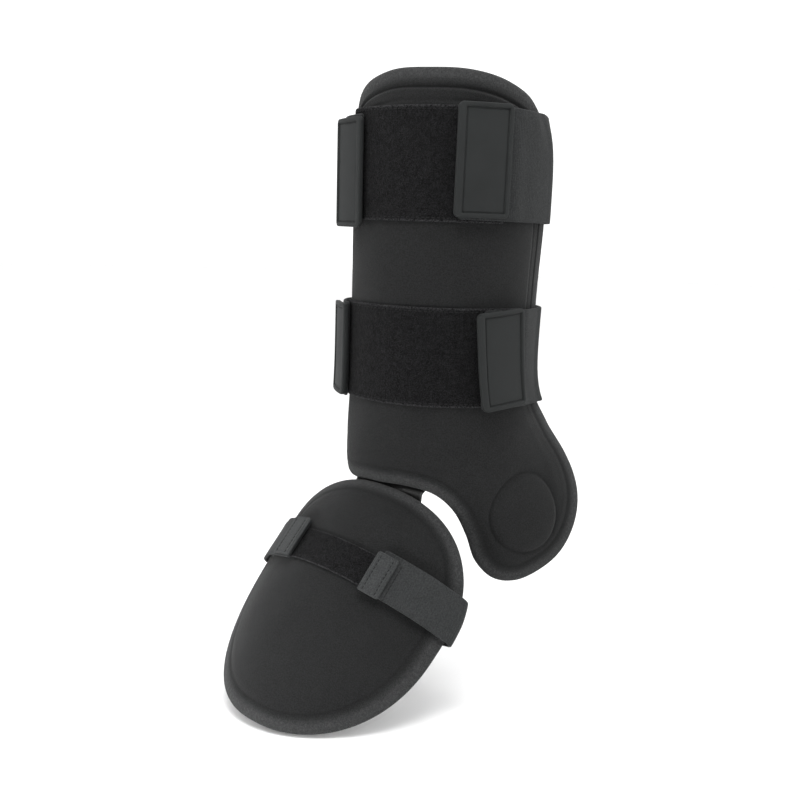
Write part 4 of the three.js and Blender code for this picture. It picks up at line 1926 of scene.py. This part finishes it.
@dataclass
class Studio:
    """Pale floor, soft light and a camera at the photograph's angle."""

    focal_px: float = 1093
    image_px: float = 800
    azimuth: float = 28
    pitch: float = 9.35
    roll: float = 1.8
    distance: float = 750
    lateral: float = -24
    camera_z: float = 40
    sensor_width: float = 36
    floor_radius: float = 6.0
    floor_sides: int = 96
    floor_tones: tuple[Colour, Colour] = ((0.93, 0.93, 0.93), (0.96, 0.96, 0.96))
    room_light: float = 1.3
    front_light: float = 0.32
    front_reach: Pair = (-0.1, 0.8)
    lights: tuple[SoftLight, ...] = (
        SoftLight("left_light", (-1.5, -0.3, 0.5), (1.0, 1.6), 2.5),
        SoftLight("right_light", (1.6, 0.5, 0.5), (1.0, 1.6), 9),
        SoftLight("top_light", (0.1, -0.1, 1.5), (1.4, 1.0), 12, (0.0, -0.03, 0.1)),
        SoftLight("crown_light", (0.1, -0.3, 0.38), (0.3, 0.16), 1.3, (0.0, -0.05, 0.14)),
        SoftLight("toe_light", (-0.09, -0.4, -0.25), (0.24, 0.06), 0.9, (-0.06, -0.14, -0.28)),
    )

    def build(self) -> None:
        """Sets the stage."""
        self.camera()
        self.floor()
        self.world()
        for light in self.lights:
            light.build()
        bpy.context.scene.view_settings.view_transform = "Standard"

    def camera(self) -> None:
        """Places the camera."""
        a, p, r = np.radians([self.azimuth, self.pitch, self.roll])
        right = np.array([np.cos(a), np.sin(a), 0])
        toward = np.array([np.sin(a), -np.cos(a), 0])
        up_axis = np.array([0, 0, 1.0])
        ahead = -toward * np.cos(p) - up_axis * np.sin(p)
        up = -toward * np.sin(p) + up_axis * np.cos(p)
        place = self.distance * toward + self.lateral * right + self.camera_z * up_axis
        columns = (right * np.cos(r) + up * np.sin(r), up * np.cos(r) - right * np.sin(r), -ahead)
        data = bpy.data.cameras.new("camera")
        data.sensor_width = self.sensor_width
        data.lens = self.focal_px / self.image_px * data.sensor_width
        obj = bpy.data.objects.new("camera", data)
        turn = Matrix(np.column_stack(columns).tolist()).to_4x4()
        obj.matrix_world = Matrix.Translation(Vector(place * MM)) @ turn
        bpy.context.scene.collection.objects.link(obj)
        bpy.context.scene.camera = obj

    def floor(self) -> None:
        """Lays a pale floor under the toe."""
        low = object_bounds()[0].z / MM - 1
        angle = np.linspace(0, 2 * np.pi, self.floor_sides, endpoint=False)
        reach = self.floor_radius / MM
        points = np.column_stack([reach * np.cos(angle), reach * np.sin(angle), np.full(len(angle), low)])
        mesh = mesh_from("floor", points, [np.arange(len(angle))[None]])
        pale = bpy.data.materials.new("pale_floor")
        pale.use_nodes = True
        graph = Graph(pale.node_tree)
        grain = graph.noise(8.0)
        tone = graph.mixed(*self.floor_tones, grain)
        shader = graph.node("ShaderNodeBsdfPrincipled", None, {"Base Color": tone, "Roughness": 0.9})
        graph.node("ShaderNodeOutputMaterial", None, {"Surface": shader})
        mesh.materials.append(pale)
        obj = bpy.data.objects.new("floor", mesh)
        bpy.context.scene.collection.objects.link(obj)
        obj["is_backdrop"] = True

    def world(self) -> None:
        """Fills the room with soft white light that is weaker from the front."""
        world = bpy.data.worlds.new("studio")
        world.use_nodes = True
        graph = Graph(world.node_tree)
        a = np.radians(self.azimuth)
        heading = graph.node("ShaderNodeTexCoord", None, None, "Generated")
        ahead = (np.sin(a), -np.cos(a), 0.0)
        dot = {"operation": "DOT_PRODUCT"}
        front = graph.node("ShaderNodeVectorMath", dot, {0: heading, 1: ahead}, "Value")
        dim = (self.front_light,) * 3
        tone = graph.mixed((1, 1, 1), dim, front.ramp(*self.front_reach))
        sky = graph.node("ShaderNodeBackground", None, {"Color": tone, "Strength": self.room_light})
        graph.node("ShaderNodeOutputWorld", None, {"Surface": sky})
        bpy.context.scene.world = world


def upper_strap() -> CalfStrap:
    """Lays out the wide strap below the top edge.

    Returns:
        The strap with its tabs.
    """
    outer = RubberTab(
        "upper_outer_rubber_tab", "upper_tab_outer",
        s=49.5, z=77.6, width=36, height=70, tilt=0, opening=3,
    )
    inner = RubberTab(
        "upper_inner_rubber_tab", "upper_tab_inner",
        s=-44.5, z=69.5, width=35.5, height=70, tilt=0, opening=4,
    )
    return CalfStrap(
        "upper", low=41.5, high=111.5, sag=5, outer_end=36, inner_end=-32, panel_end=70, tabs=(outer, inner),
    )


def lower_strap() -> CalfStrap:
    """Lays out the strap above the ankle.

    Returns:
        The strap with its tabs.
    """
    outer = RubberTab(
        "lower_outer_rubber_tab", "lower_tab_outer",
        s=66.5, z=-46.6, width=38, height=63.5, tilt=5, opening=6,
    )
    inner = RubberTab(
        "lower_inner_rubber_tab", "lower_tab_inner",
        s=-59, z=-47, width=34.5, height=62, tilt=0, opening=4,
    )
    return CalfStrap(
        "lower", low=-79, high=-15, sag=0, outer_end=55, inner_end=-47, panel_end=88, tabs=(outer, inner),
    )


def main() -> None:
    """Builds the studio and the guard."""
    logging.basicConfig(level=logging.INFO, format="%(message)s")
    Studio().build()
    for part in (ShinPad(), upper_strap(), lower_strap(), FootPad()):
        part.build()


if __name__ == "__main__":
    main()
